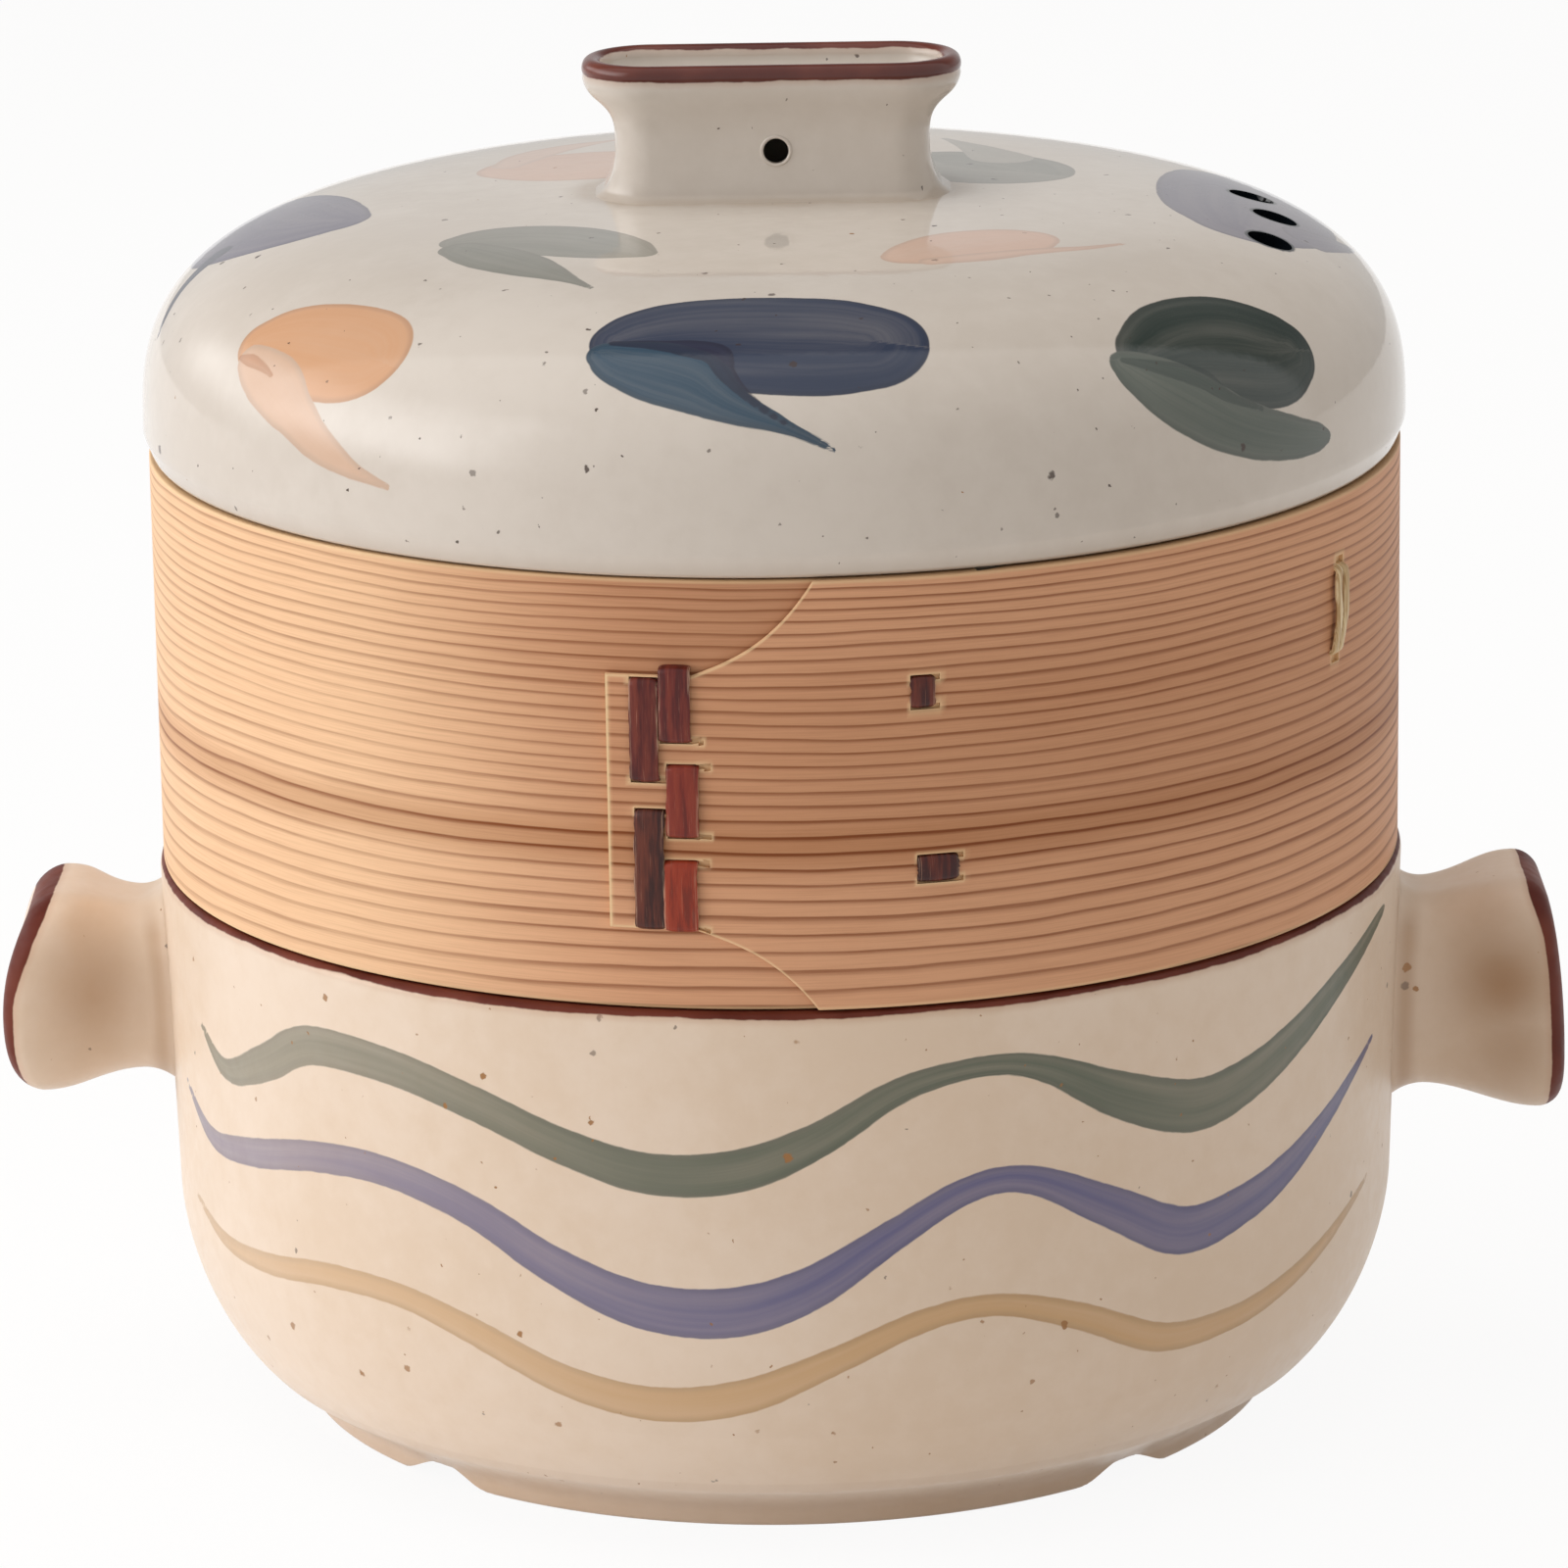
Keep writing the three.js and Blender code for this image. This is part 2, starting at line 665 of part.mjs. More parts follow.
// The hollow inside the knob, and the pin hole that vents it at the front
function knobHollow() {
  const faceInset = knobWaistInset * knobFaceShare;
  const ceiling = knobHeight - knobRecess - knobWall;
  const levels = [[knobWall, 0], [knobWall, ceiling - knobWall], [knobWall + knobWall / 3, ceiling]];
  const rings = levels.map(([drawn, height]) => knobRing(knobWaistInset + drawn, height, faceInset + drawn));
  const pin = new THREE.CylinderGeometry(pinHoleRadius, pinHoleRadius, knobDepth / 2, holeSteps);
  pin.translate(pinHoleOffset, -knobDepth / 4 - pinHoleRadius / 2, lidTop + pinHoleHeight);
  return solidOf(loft(rings)).add(solidOf(pin));
}

// A steam vent through the lid's shoulder, square to its slope
function vent({ bearing, inset }) {
  const length = lidWall * 4;
  const drill = new THREE.CylinderGeometry(ventRadius, ventRadius, length, holeSteps).rotateX(Math.PI / 2);
  drill.rotateX(radians(ventTilt));
  drill.translate(0, inset - lidRadius, lidTop - lidWall);
  return solidOf(drill.rotateZ(radians(bearing)));
}

function lidBody() {
  const shell = solidOf(turned([...lidInnerProfile(), ...lidOuterProfile()]));
  return cutAway(shell.add(knobOuter()), [knobHollow(), ...vents.map(vent)]);
}

// Materials
function finish(name, color, roughness) {
  return new THREE.MeshStandardMaterial({ name, color, roughness, metalness: 0 });
}

const creamGlaze = finish("cream_glaze", 0xe3d2c0, 0.35);
const greyGlaze = finish("grey_glaze", 0xd2cac0, 0.15);
const cedar = finish("cedar", 0xd09f78, 0.65);
const paleCedar = finish("pale_cedar", 0xdab48c, 0.7);
const bamboo = finish("bamboo", 0xd8bf8a, 0.6);
const bark = finish("bark", 0x63251f, 0.4);
const cane = finish("cane", 0xdcc48e, 0.5);

function piece(name, solid, material) {
  const mesh = new THREE.Mesh(geometryOf(solid), material);
  mesh.name = name;
  return mesh;
}

const [potWallSolid, potBaseSolid] = potParts();
const pot = new THREE.Group();
pot.add(piece("pot_base", potBaseSolid, creamGlaze));
pot.add(piece("pot_wall", potWallSolid, creamGlaze));

const steamer = new THREE.Group();
steamer.add(piece("outer_hoop", outerHoop(), cedar));
steamer.add(piece("upper_inner_hoop", upperInnerHoop(), paleCedar));
steamer.add(piece("lower_inner_hoop", lowerInnerHoop(), paleCedar));
for (let i = 0; i < slatCount; i += 1) {
  steamer.add(piece(`slat_${String(i + 1).padStart(2, "0")}`, slat(i), bamboo));
}
steamer.add(piece("bearer_left", bearer(bearerOffset), bamboo));
steamer.add(piece("bearer_right", bearer(-bearerOffset), bamboo));
steamer.add(piece("lacing_left", strap(leftLacing), bark));
steamer.add(piece("lacing_right", strap(rightLacing), bark));
steamer.add(piece("stitch_upper", joined(loopBlocks(upperStitch, barkThickness, barkInside, 0)), bark));
steamer.add(piece("stitch_lower", joined(loopBlocks(lowerStitch, barkThickness, barkInside, 0)), bark));
steamer.add(piece("cane_tie", joined(loopBlocks(caneTie, caneThickness, caneInnerFace, 0)), cane));

const lid = new THREE.Group();
lid.add(piece("lid", lidBody(), greyGlaze));

const steamerPot = new THREE.Group();
steamerPot.name = "ceramic_steamer_pot";
steamerPot.add(pot, steamer, lid);

export default steamerPot;
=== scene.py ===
"""The looks of a glazed steamer pot with a bentwood tier and a domed lid, built round its packed solids."""

import math

import bmesh
import bpy
import numpy as np
from bpy.props import FloatProperty, FloatVectorProperty, IntProperty, PointerProperty
from mathutils import Matrix, Vector


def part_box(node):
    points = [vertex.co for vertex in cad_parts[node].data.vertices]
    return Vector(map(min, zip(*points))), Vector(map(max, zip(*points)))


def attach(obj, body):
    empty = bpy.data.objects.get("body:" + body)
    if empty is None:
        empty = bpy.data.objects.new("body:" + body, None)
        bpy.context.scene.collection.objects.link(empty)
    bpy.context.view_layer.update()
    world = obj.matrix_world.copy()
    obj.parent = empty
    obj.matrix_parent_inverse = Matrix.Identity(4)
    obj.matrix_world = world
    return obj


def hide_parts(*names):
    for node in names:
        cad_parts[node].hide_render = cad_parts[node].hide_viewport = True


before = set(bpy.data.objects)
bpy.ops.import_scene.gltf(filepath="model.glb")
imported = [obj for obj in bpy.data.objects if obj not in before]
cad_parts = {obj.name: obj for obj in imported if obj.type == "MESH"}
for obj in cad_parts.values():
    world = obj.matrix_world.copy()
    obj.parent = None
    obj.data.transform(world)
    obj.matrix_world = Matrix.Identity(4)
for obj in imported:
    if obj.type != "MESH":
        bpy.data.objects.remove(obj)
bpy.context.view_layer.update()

bl_info = {
    "name": "Ceramic steamer pot",
    "version": (1, 0, 0),
    "blender": (4, 5, 0),
    "location": "View3D > Sidebar > Steamer pot",
    "description": "Makes a glazed steamer pot with a bentwood tier and a painted lid",
    "category": "Add Mesh",
}

MM = 0.001

POT_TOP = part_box("pot_wall")[1].z
HOOP_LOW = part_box("outer_hoop")[0].z
HOOP_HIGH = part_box("outer_hoop")[1].z
HOOP_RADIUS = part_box("outer_hoop")[1].y
LID_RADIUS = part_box("lid")[1].y
KNOB_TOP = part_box("lid")[1].z

# Sizes and colours that a user would change


def linear(code):
    """A colour written as six hex digits, as linear red, green, blue and alpha."""
    parts = [int(code[i : i + 2], 16) / 255 for i in (0, 2, 4)]
    return tuple([p / 12.92 if p <= 0.04045 else ((p + 0.055) / 1.055) ** 2.4 for p in parts] + [1.0])


def length(name, description, default):
    """A length in metres that shows in the sidebar."""
    settings = {"min": 0.0, "precision": 5, "unit": "LENGTH"}
    return FloatProperty(name=name, description=description, default=default, **settings)


def tint(name, description, code):
    """A colour that shows in the sidebar."""
    return FloatVectorProperty(
        name=name, description=description, default=linear(code), min=0.0, max=1.0, size=4, subtype="COLOR"
    )


class PotSizes(bpy.types.PropertyGroup):
    """Sizes of the glazed pot."""

    height: length("Height", "From the foot to the rim", POT_TOP)
    foot_radius: length("Foot radius", "Outside of the foot ring", 89.6 * MM)
    foot_width: length("Foot width", "Width of the foot ring", 10.5 * MM)
    foot_height: length("Foot height", "Height of the foot ring", 5.2 * MM)
    belly_radius: length("Belly radius", "Where the lower curve ends", 111.4 * MM)
    belly_height: length("Belly height", "Height at which the lower curve ends", 40 * MM)
    rim_radius: length("Rim radius", "Outside of the rim", 113.1 * MM)
    rim_round: length("Rim round", "Rounding of the rim's outer edge", 1.8 * MM)
    mouth_radius: length("Mouth radius", "Inside of the mouth", 109.8 * MM)
    wall: length("Wall", "Thickness of the wall", 6 * MM)
    floor: length("Floor", "Thickness of the floor", 7 * MM)
    floor_corner: length("Floor corner", "Rounding between the wall and the floor inside", 34 * MM)
    notch_width: length("Notch width", "Width of a notch in the foot", 24.4 * MM)
    notch_height: length("Notch height", "Height of a notch in the foot", 3.6 * MM)
    handle_length: length("Handle length", "From the wall to the end of a handle", 30.9 * MM)
    handle_waist: length("Handle waist", "Depth of a handle at its waist", 31 * MM)
    handle_flare: length("Handle flare", "Depth of a handle at its end", 40 * MM)
    handle_lip: length("Handle lip", "Rounding of a handle's end", 4 * MM)
    steps: IntProperty(name="Steps", description="Faces round the pot", default=560, min=24)


class TierSizes(bpy.types.PropertyGroup):
    """Sizes of the bentwood tier."""

    low: length("Lower edge", "Height of the outer hoop's lower edge", HOOP_LOW)
    high: length("Upper edge", "Height of the outer hoop's upper edge", HOOP_HIGH)
    radius: length("Radius", "Outside of the outer hoop", HOOP_RADIUS)
    board: length("Board", "Thickness of a board", 3.2 * MM)
    tongue: length("Tongue", "Thickness of the visible lap", 0.9 * MM)
    edge: length("Edge", "Rounding of a board's edges", 0.35 * MM)
    bark_thickness: length("Bark thickness", "Thickness of the bark strips", 0.7 * MM)
    cane_thickness: length("Cane thickness", "Thickness of the cane tie", 1.0 * MM)
    slat_edge: length("Slat edge", "Rounding of the slats' edges", 0.5 * MM)
    ring_spacing: length("Ring spacing", "Distance between two annual rings at the lower edge", 3.3 * MM)
    steps: IntProperty(name="Steps", description="Faces round a hoop", default=760, min=24)


class LidSizes(bpy.types.PropertyGroup):
    """Sizes of the lid and its knob."""

    radius: length("Radius", "Widest radius of the lid", LID_RADIUS)
    edge_radius: length("Edge radius", "Radius of the lid's lower edge", 112.3 * MM)
    low: length("Lower edge", "Height of the lid's lower edge", 176.3 * MM)
    widest: length("Widest height", "Height at which the lid is widest", 180.6 * MM)
    crown: length("Crown", "Rise of the dome over its widest height", 40 * MM)
    wall: length("Wall", "Thickness of the dome", 6 * MM)
    flange_depth: length("Flange depth", "How far the flange reaches into the tier", 6 * MM)
    flange_width: length("Flange width", "Width of the flange", 5 * MM)
    flange_radius: length("Flange radius", "Outside of the flange", 108.5 * MM)
    vent_radius: length("Vent radius", "Radius of a steam vent", 4.1 * MM)
    knob_width: length("Knob width", "Knob from side to side", 67.6 * MM)
    knob_depth: length("Knob depth", "Knob from front to back", 26.4 * MM)
    knob_height: length("Knob height", "Knob over the dome", KNOB_TOP - 220.6 * MM)
    pin_radius: length("Pin hole radius", "Radius of the pin hole in the knob", 2.4 * MM)
    steps: IntProperty(name="Steps", description="Faces round the lid", default=420, min=24)


class Colours(bpy.types.PropertyGroup):
    """Colours of the glazes, paints and woods."""

    pot_cream: tint("Pot cream", "Glaze of the pot", "e6d5c4")
    pot_shade: tint("Pot shade", "Thicker glaze of the pot", "dfcbb6")
    lid_cream: tint("Lid cream", "Glaze of the lid", "d4cdc5")
    lid_shade: tint("Lid shade", "Thicker glaze of the lid", "ccc4bb")
    rim_brown: tint("Rim brown", "Bare brown edges", "521b0e")
    speck: tint("Speck", "Iron specks", "3a2417")
    ochre_speck: tint("Ochre speck", "Pale iron specks", "9a6a34")
    blue_paint: tint("Blue paint", "Blue leaves", "182a49")
    teal_paint: tint("Teal paint", "Tails of the blue leaves", "173f58")
    fold_paint: tint("Fold paint", "Dark fold of a blue leaf", "26233a")
    violet_paint: tint("Violet paint", "Violet leaves", "5b5a72")
    deep_green_paint: tint("Deep green paint", "Dark green leaves", "112822")
    green_paint: tint("Green paint", "Green leaves", "2a4238")
    orange_paint: tint("Orange paint", "Orange leaves", "cf9768")
    amber_paint: tint("Amber paint", "Dark start of an orange tail", "b06a2e")
    pink_paint: tint("Pink paint", "Pink leaves", "d3a085")
    green_stripe: tint("Green stripe", "Upper stripe of the pot", "596152")
    violet_stripe: tint("Violet stripe", "Middle stripe of the pot", "5f5e86")
    ochre_stripe: tint("Ochre stripe", "Lower stripe of the pot", "cba77c")
    cedar_pale: tint("Cedar pale", "Early wood of the outer hoop", "daa682")
    cedar_dark: tint("Cedar dark", "Late wood of the outer hoop", "7d4119")
    inner_pale: tint("Inner pale", "Early wood of the inner hoops", "e6c193")
    inner_dark: tint("Inner dark", "Late wood of the inner hoops", "bb8350")
    bamboo: tint("Bamboo", "Slats and bearers", "dcc08c")
    cane: tint("Cane", "Cane tie", "ecd9b0")


# Node helpers


def feed(tree, socket, value):
    """Links a socket to another one, or sets its value."""
    if isinstance(value, bpy.types.NodeSocket):
        tree.links.new(value, socket)
    else:
        socket.default_value = value


def add_node(tree, kind, inputs=None, **settings):
    """A node with its settings, and with its sockets set or linked."""
    made = tree.nodes.new(kind)
    for key, value in settings.items():
        setattr(made, key, value)
    for key, value in (inputs or {}).items():
        feed(tree, made.inputs[key], value)
    return made


def calc(tree, operation, first, second=0.0, clamp=False):
    """One step of arithmetic."""
    made = add_node(tree, "ShaderNodeMath", {0: first, 1: second}, operation=operation, use_clamp=clamp)
    return made.outputs[0]


def plus(tree, first, second):
    """The sum of two values."""
    return calc(tree, "ADD", first, second)


def minus(tree, first, second):
    """The first value less the second."""
    return calc(tree, "SUBTRACT", first, second)


def times(tree, first, second):
    """The product of two values."""
    return calc(tree, "MULTIPLY", first, second)


def larger(tree, first, second):
    """The larger of two values."""
    return calc(tree, "MAXIMUM", first, second)


def fit(tree, value, low, high, to_low=0.0, to_high=1.0, smooth=True):
    """A value carried from one span to another and held at its ends."""
    kind = "SMOOTHSTEP" if smooth else "LINEAR"
    inputs = {"Value": value, "From Min": low, "From Max": high, "To Min": to_low, "To Max": to_high}
    return add_node(tree, "ShaderNodeMapRange", inputs, interpolation_type=kind).outputs["Result"]


def mixed(tree, factor, first, second, blend="MIX"):
    """Two colours mixed by a factor."""
    inputs = {"Factor": factor, 6: first, 7: second}
    return add_node(tree, "ShaderNodeMix", inputs, data_type="RGBA", blend_type=blend).outputs[2]


def laid(tree, mask, share, base, code):
    """A colour over a base where a mask shows, at a share of its full strength."""
    return mixed(tree, times(tree, mask, share), base, linear(code))


def noise(tree, vector, scale, detail=3.0, roughness=0.5):
    """A noise value at a place."""
    inputs = {"Vector": vector, "Scale": scale, "Detail": detail, "Roughness": roughness}
    return add_node(tree, "ShaderNodeTexNoise", inputs).outputs["Fac"]


def lot_of(tree, number):
    """A random value that belongs to a whole number."""
    return add_node(tree, "ShaderNodeTexWhiteNoise", {"W": number}, noise_dimensions="1D").outputs["Value"]


def joined_vector(tree, x, y, z):
    """Three values as one vector."""
    return add_node(tree, "ShaderNodeCombineXYZ", {"X": x, "Y": y, "Z": z}).outputs[0]


def drawn_out(tree, along, along_scale, across, across_scale, lot):
    """A place for noise that runs along a grain, with its own scale each way."""
    return joined_vector(tree, times(tree, along, along_scale), times(tree, across, across_scale), lot)


def split_vector(tree, vector):
    """The three values of a vector."""
    return add_node(tree, "ShaderNodeSeparateXYZ", {"Vector": vector}).outputs


def field(tree, name):
    """The outputs of a field that the mesh carries."""
    return add_node(tree, "ShaderNodeAttribute", attribute_name=name).outputs


def place(tree):
    """The place on the object, in metres."""
    return add_node(tree, "ShaderNodeTexCoord").outputs["Object"]


def effect_group(name, inputs, outputs):
    """A shader group and its inner sockets, which are None where the group exists already."""
    existing = bpy.data.node_groups.get(name)
    if existing:
        return existing, None, None
    group = bpy.data.node_groups.new(name, "ShaderNodeTree")
    kinds = {"value": "NodeSocketFloat", "color": "NodeSocketColor", "vector": "NodeSocketVector"}
    for socket_name, kind, default in inputs:
        socket = group.interface.new_socket(name=socket_name, in_out="INPUT", socket_type=kinds[kind])
        if default is not None:
            socket.default_value = default
    for socket_name, kind in outputs:
        group.interface.new_socket(name=socket_name, in_out="OUTPUT", socket_type=kinds[kind])
    return group, group.nodes.new("NodeGroupInput").outputs, group.nodes.new("NodeGroupOutput").inputs


def use_group(tree, group, **inputs):
    """The outputs of a shader group placed in a material."""
    made = tree.nodes.new("ShaderNodeGroup")
    made.node_tree = group
    for key, value in inputs.items():
        feed(tree, made.inputs[key.replace("_", " ").capitalize()], value)
    return made.outputs


def iron_specks():
    """Round specks of iron that melt into a glaze, each with its own size."""
    numbers = [("Per metre", "value", 60.0), ("Share", "value", 0.3), ("Size", "value", 0.1)]
    group, given, out = effect_group(
        "Iron specks", [("Place", "vector", None), *numbers], [("Mask", "value"), ("Kind", "value")]
    )
    if given is None:
        return group
    bend = add_node(group, "ShaderNodeTexNoise", {"Vector": given["Place"], "Scale": 900.0, "Detail": 2.0})
    spot = bend.outputs["Color"]
    for operation, inputs in (
        ("SUBTRACT", {1: (0.5, 0.5, 0.5)}),
        ("SCALE", {"Scale": 0.0012}),
        ("ADD", {1: given["Place"]}),
    ):
        spot = add_node(group, "ShaderNodeVectorMath", {0: spot, **inputs}, operation=operation).outputs[0]
    cells = add_node(group, "ShaderNodeTexVoronoi", {"Vector": spot, "Scale": given["Per metre"]})
    lot = split_vector(group, cells.outputs["Color"])
    radius = times(group, given["Size"], fit(group, lot[1], 0.0, 1.0, 0.35, 1.3, smooth=False))
    inside = minus(group, 1.0, calc(group, "DIVIDE", cells.outputs["Distance"], radius))
    chosen = calc(group, "LESS_THAN", lot[0], given["Share"])
    feed(group, out["Mask"], times(group, fit(group, inside, 0.0, 0.35), chosen))
    feed(group, out["Kind"], lot[2])
    return group


def glaze_mottle():
    """Soft clouding of a glaze, from broad pools down to fine mist."""
    group, given, out = effect_group(
        "Glaze mottle", [("Place", "vector", None)], [("Tone", "value"), ("Peel", "value")]
    )
    if given is None:
        return group
    broad = noise(group, given["Place"], 14.0, 3.0, 0.55)
    fine = noise(group, given["Place"], 190.0, 4.0, 0.6)
    tone = plus(group, times(group, broad, 0.7), times(group, fine, 0.3))
    feed(group, out["Tone"], fit(group, tone, 0.36, 0.64))
    feed(group, out["Peel"], noise(group, given["Place"], 420.0, 2.0, 0.5))
    return group


def bare_edge():
    """Where the glaze draws back from an edge, and how it thins beside that."""
    group, given, out = effect_group(
        "Bare edge",
        [("Place", "vector", None), ("Depth", "value", 0.0), ("Wander", "value", 0.0008)],
        [("Mask", "value"), ("Thin", "value")],
    )
    if given is None:
        return group
    slow = noise(group, given["Place"], 45.0, 2.0, 0.5)
    quick = noise(group, given["Place"], 210.0, 3.0, 0.6)
    both = plus(group, times(group, slow, 0.7), times(group, quick, 0.3))
    wobble = minus(group, both, 0.5)
    depth = plus(group, given["Depth"], times(group, wobble, given["Wander"]))
    feed(group, out["Mask"], fit(group, depth, -0.00012, 0.0002))
    feed(group, out["Thin"], fit(group, depth, -0.0016, 0.0004))
    return group


def brush_paint():
    """A stroke of a loaded brush: streaks along it, pigment gathered at its sides and ragged ends."""
    group, given, out = effect_group(
        "Brush paint",
        [
            ("Stroke", "vector", None),
            ("Paint", "color", (0.2, 0.2, 0.2, 1.0)),
            ("Under", "color", (0.8, 0.8, 0.8, 1.0)),
            ("Lot", "value", 0.0),
            ("Thin", "value", 0.25),
            ("Gather", "value", 0.35),
            ("Hairs", "value", 1.0),
        ],
        [("Color", "color"), ("Mask", "value")],
    )
    if given is None:
        return group
    distance, along, across = split_vector(group, given["Stroke"])
    run = drawn_out(group, along, 260.0, across, 3.0, given["Lot"])
    rag = times(group, minus(group, noise(group, run, 1.0, 3.0), 0.5), 0.00045)
    edge = plus(group, distance, rag)
    mask = fit(group, edge, 0.00012, -0.00022)
    drawn = drawn_out(group, along, 22.0, across, 7.0, given["Lot"])
    hairs = noise(group, drawn, 1.0, 5.0, 0.62)
    slow = drawn_out(group, along, 16.0, across, 1.1, given["Lot"])
    load = noise(group, slow, 1.0, 2.0, 0.5)
    fine = plus(group, times(group, minus(group, hairs, 0.5), given["Hairs"]), 0.5)
    streak = plus(group, times(group, fine, 0.55), times(group, load, 0.45))
    thin = times(group, fit(group, streak, 0.4, 0.66), given["Thin"])
    body = mixed(group, thin, given["Paint"], given["Under"])
    rim = times(group, fit(group, edge, -0.0016, -0.0002), given["Gather"])
    dark = times(group, fit(group, streak, 0.5, 0.3), times(group, given["Hairs"], 0.25))
    deeper = mixed(group, larger(group, rim, dark), body, (0.25, 0.25, 0.27, 1.0), "MULTIPLY")
    feed(group, out["Color"], deeper)
    feed(group, out["Mask"], mask)
    return group


def wood_rings():
    """Annual rings that run along a board, with the fine fibres between them."""
    group, given, out = effect_group(
        "Wood rings",
        [
            ("Board", "vector", None),
            ("Spacing", "value", 0.0035),
            ("Tighten", "value", 0.019),
            ("Waver", "value", 0.0015),
            ("Lot", "value", 0.0),
        ],
        [("Ring", "value"), ("Weight", "value"), ("Fibre", "value"), ("Broad", "value")],
    )
    if given is None:
        return group
    along, height, _depth = split_vector(group, given["Board"])
    slow = drawn_out(group, along, 3.2, height, 16.0, given["Lot"])
    drift = minus(group, noise(group, slow, 1.0, 2.0, 0.5), 0.5)
    small = drawn_out(group, along, 26.0, height, 60.0, given["Lot"])
    shake = times(group, minus(group, noise(group, small, 1.0, 2.0), 0.5), 0.12)
    bend = times(group, plus(group, drift, shake), given["Waver"])
    reach = calc(group, "DIVIDE", plus(group, height, bend), given["Spacing"])
    left = larger(group, minus(group, 1.0, times(group, reach, given["Tighten"])), 0.05)
    curved = times(group, calc(group, "LOGARITHM", left, math.e), -1.0)
    phase = calc(group, "DIVIDE", curved, given["Tighten"])
    ring = calc(group, "FRACT", phase)
    year = calc(group, "FLOOR", phase)
    weight = lot_of(group, year)
    thread = drawn_out(group, along, 55.0, height, 3200.0, given["Lot"])
    broad = drawn_out(group, along, 6.0, height, 55.0, given["Lot"])
    feed(group, out["Ring"], ring)
    feed(group, out["Weight"], weight)
    feed(group, out["Fibre"], noise(group, thread, 1.0, 3.0, 0.6))
    feed(group, out["Broad"], noise(group, broad, 1.0, 3.0, 0.5))
    return group


def new_material(name):
    """An empty material with a shader and its output."""
    existing = bpy.data.materials.get(name)
    if existing:
        bpy.data.materials.remove(existing)
    material = bpy.data.materials.new(name)
    material.use_nodes = True
    tree = material.node_tree
    tree.nodes.clear()
    shader = add_node(tree, "ShaderNodeBsdfPrincipled")
    add_node(tree, "ShaderNodeOutputMaterial", {0: shader.outputs[0]})
    return material, tree, shader


def dressed(tree, shader, base, rough, height, distance):
    """Feeds a shader its colour, its roughness and the small bumps of its surface."""
    bump = add_node(tree, "ShaderNodeBump", {"Height": height, "Distance": distance, "Strength": 1.0})
    for name, value in (("Base Color", base), ("Roughness", rough), ("Normal", bump.outputs[0])):
        feed(tree, shader.inputs[name], value)


def glaze_base(tree, cream, shade):
    """The bare glaze: its clouding, and the place that its other effects use."""
    spot = place(tree)
    mottle = use_group(tree, glaze_mottle(), place=spot)
    return spot, mixed(tree, mottle["Tone"], cream, shade), mottle["Peel"]


# Specks: (cells in a metre, share of cells with a speck, size in a cell, share of ochre specks)
POT_SPECKS = [(150.0, 0.36, 0.1, 0.75), (80.0, 0.18, 0.08, 0.8), (300.0, 0.3, 0.085, 0.85)]
LID_SPECKS = [(150.0, 0.5, 0.095, 0.04), (90.0, 0.3, 0.07, 0.0), (300.0, 0.4, 0.085, 0.04)]


def with_specks(tree, colours, spot, base, settings):
    """The glaze with several sizes of iron specks over it."""
    total = 0.0
    for per_metre, share, size, ochre_share in settings:
        specks = use_group(tree, iron_specks(), place=spot, per_metre=per_metre, share=share, size=size)
        ochre = calc(tree, "LESS_THAN", specks["Kind"], ochre_share)
        colour = mixed(tree, ochre, tuple(colours.speck), tuple(colours.ochre_speck))
        strength = fit(tree, specks["Kind"], 0.0, 1.0, 0.95, 0.55, smooth=False)
        base = mixed(tree, times(tree, specks["Mask"], strength), base, colour)
        total = larger(tree, total, specks["Mask"])
    return base, total


def with_brown_edges(tree, colours, spot, base, wander):
    """The glaze with the bare brown clay that shows on the edges."""
    depth = field(tree, "brown_depth")["Fac"]
    edge = use_group(tree, bare_edge(), place=spot, depth=depth, wander=wander)
    warm = laid(tree, edge["Thin"], 0.35, base, "a9714a")
    tone = noise(tree, spot, 60.0, 3.0)
    brown = mixed(tree, fit(tree, tone, 0.35, 0.75), tuple(colours.rim_brown), linear("6e3426"))
    return mixed(tree, edge["Mask"], warm, brown), edge["Mask"]


def painted(tree, name, under, **settings):
    """The brush strokes that a mesh carries under a name, and how much paint each one holds."""
    tinted = field(tree, name + "_paint")
    stroke = field(tree, name)["Vector"]
    made = use_group(tree, brush_paint(), stroke=stroke, paint=tinted["Color"], under=under, **settings)
    return made, tinted["Alpha"]


def pot_glaze(colours):
    """Satin cream glaze with three painted stripes, ochre specks and brown edges."""
    material, tree, shader = new_material("Pot glaze")
    spot, base, peel = glaze_base(tree, tuple(colours.pot_cream), tuple(colours.pot_shade))
    # Painted shade in warm brown, from the mesh's field; on the handles' fronts it is partly pooled glaze
    base = mixed(tree, field(tree, "pool")["Fac"], base, linear("a27a52"))
    paint, _held = painted(tree, "stripe", base, lot=3.0, thin=0.2, gather=0.22, hairs=0.2)
    # The stripes grow paler towards the left side
    load = fit(tree, split_vector(tree, spot)[0], -0.11, 0.02, 0.72, 1.0)
    base = mixed(tree, times(tree, paint["Mask"], load), base, paint["Color"])
    base, dots = with_specks(tree, colours, spot, base, POT_SPECKS)
    base, brown = with_brown_edges(tree, colours, spot, base, 0.0019)
    rough = plus(tree, fit(tree, peel, 0.3, 0.7, 0.34, 0.44), times(tree, brown, 0.08))
    feed(tree, shader.inputs["Specular IOR Level"], fit(tree, brown, 0.0, 1.0, 0.5, 0.22))
    dressed(tree, shader, base, rough, plus(tree, peel, times(tree, dots, -0.6)), 0.05 * MM)
    return material


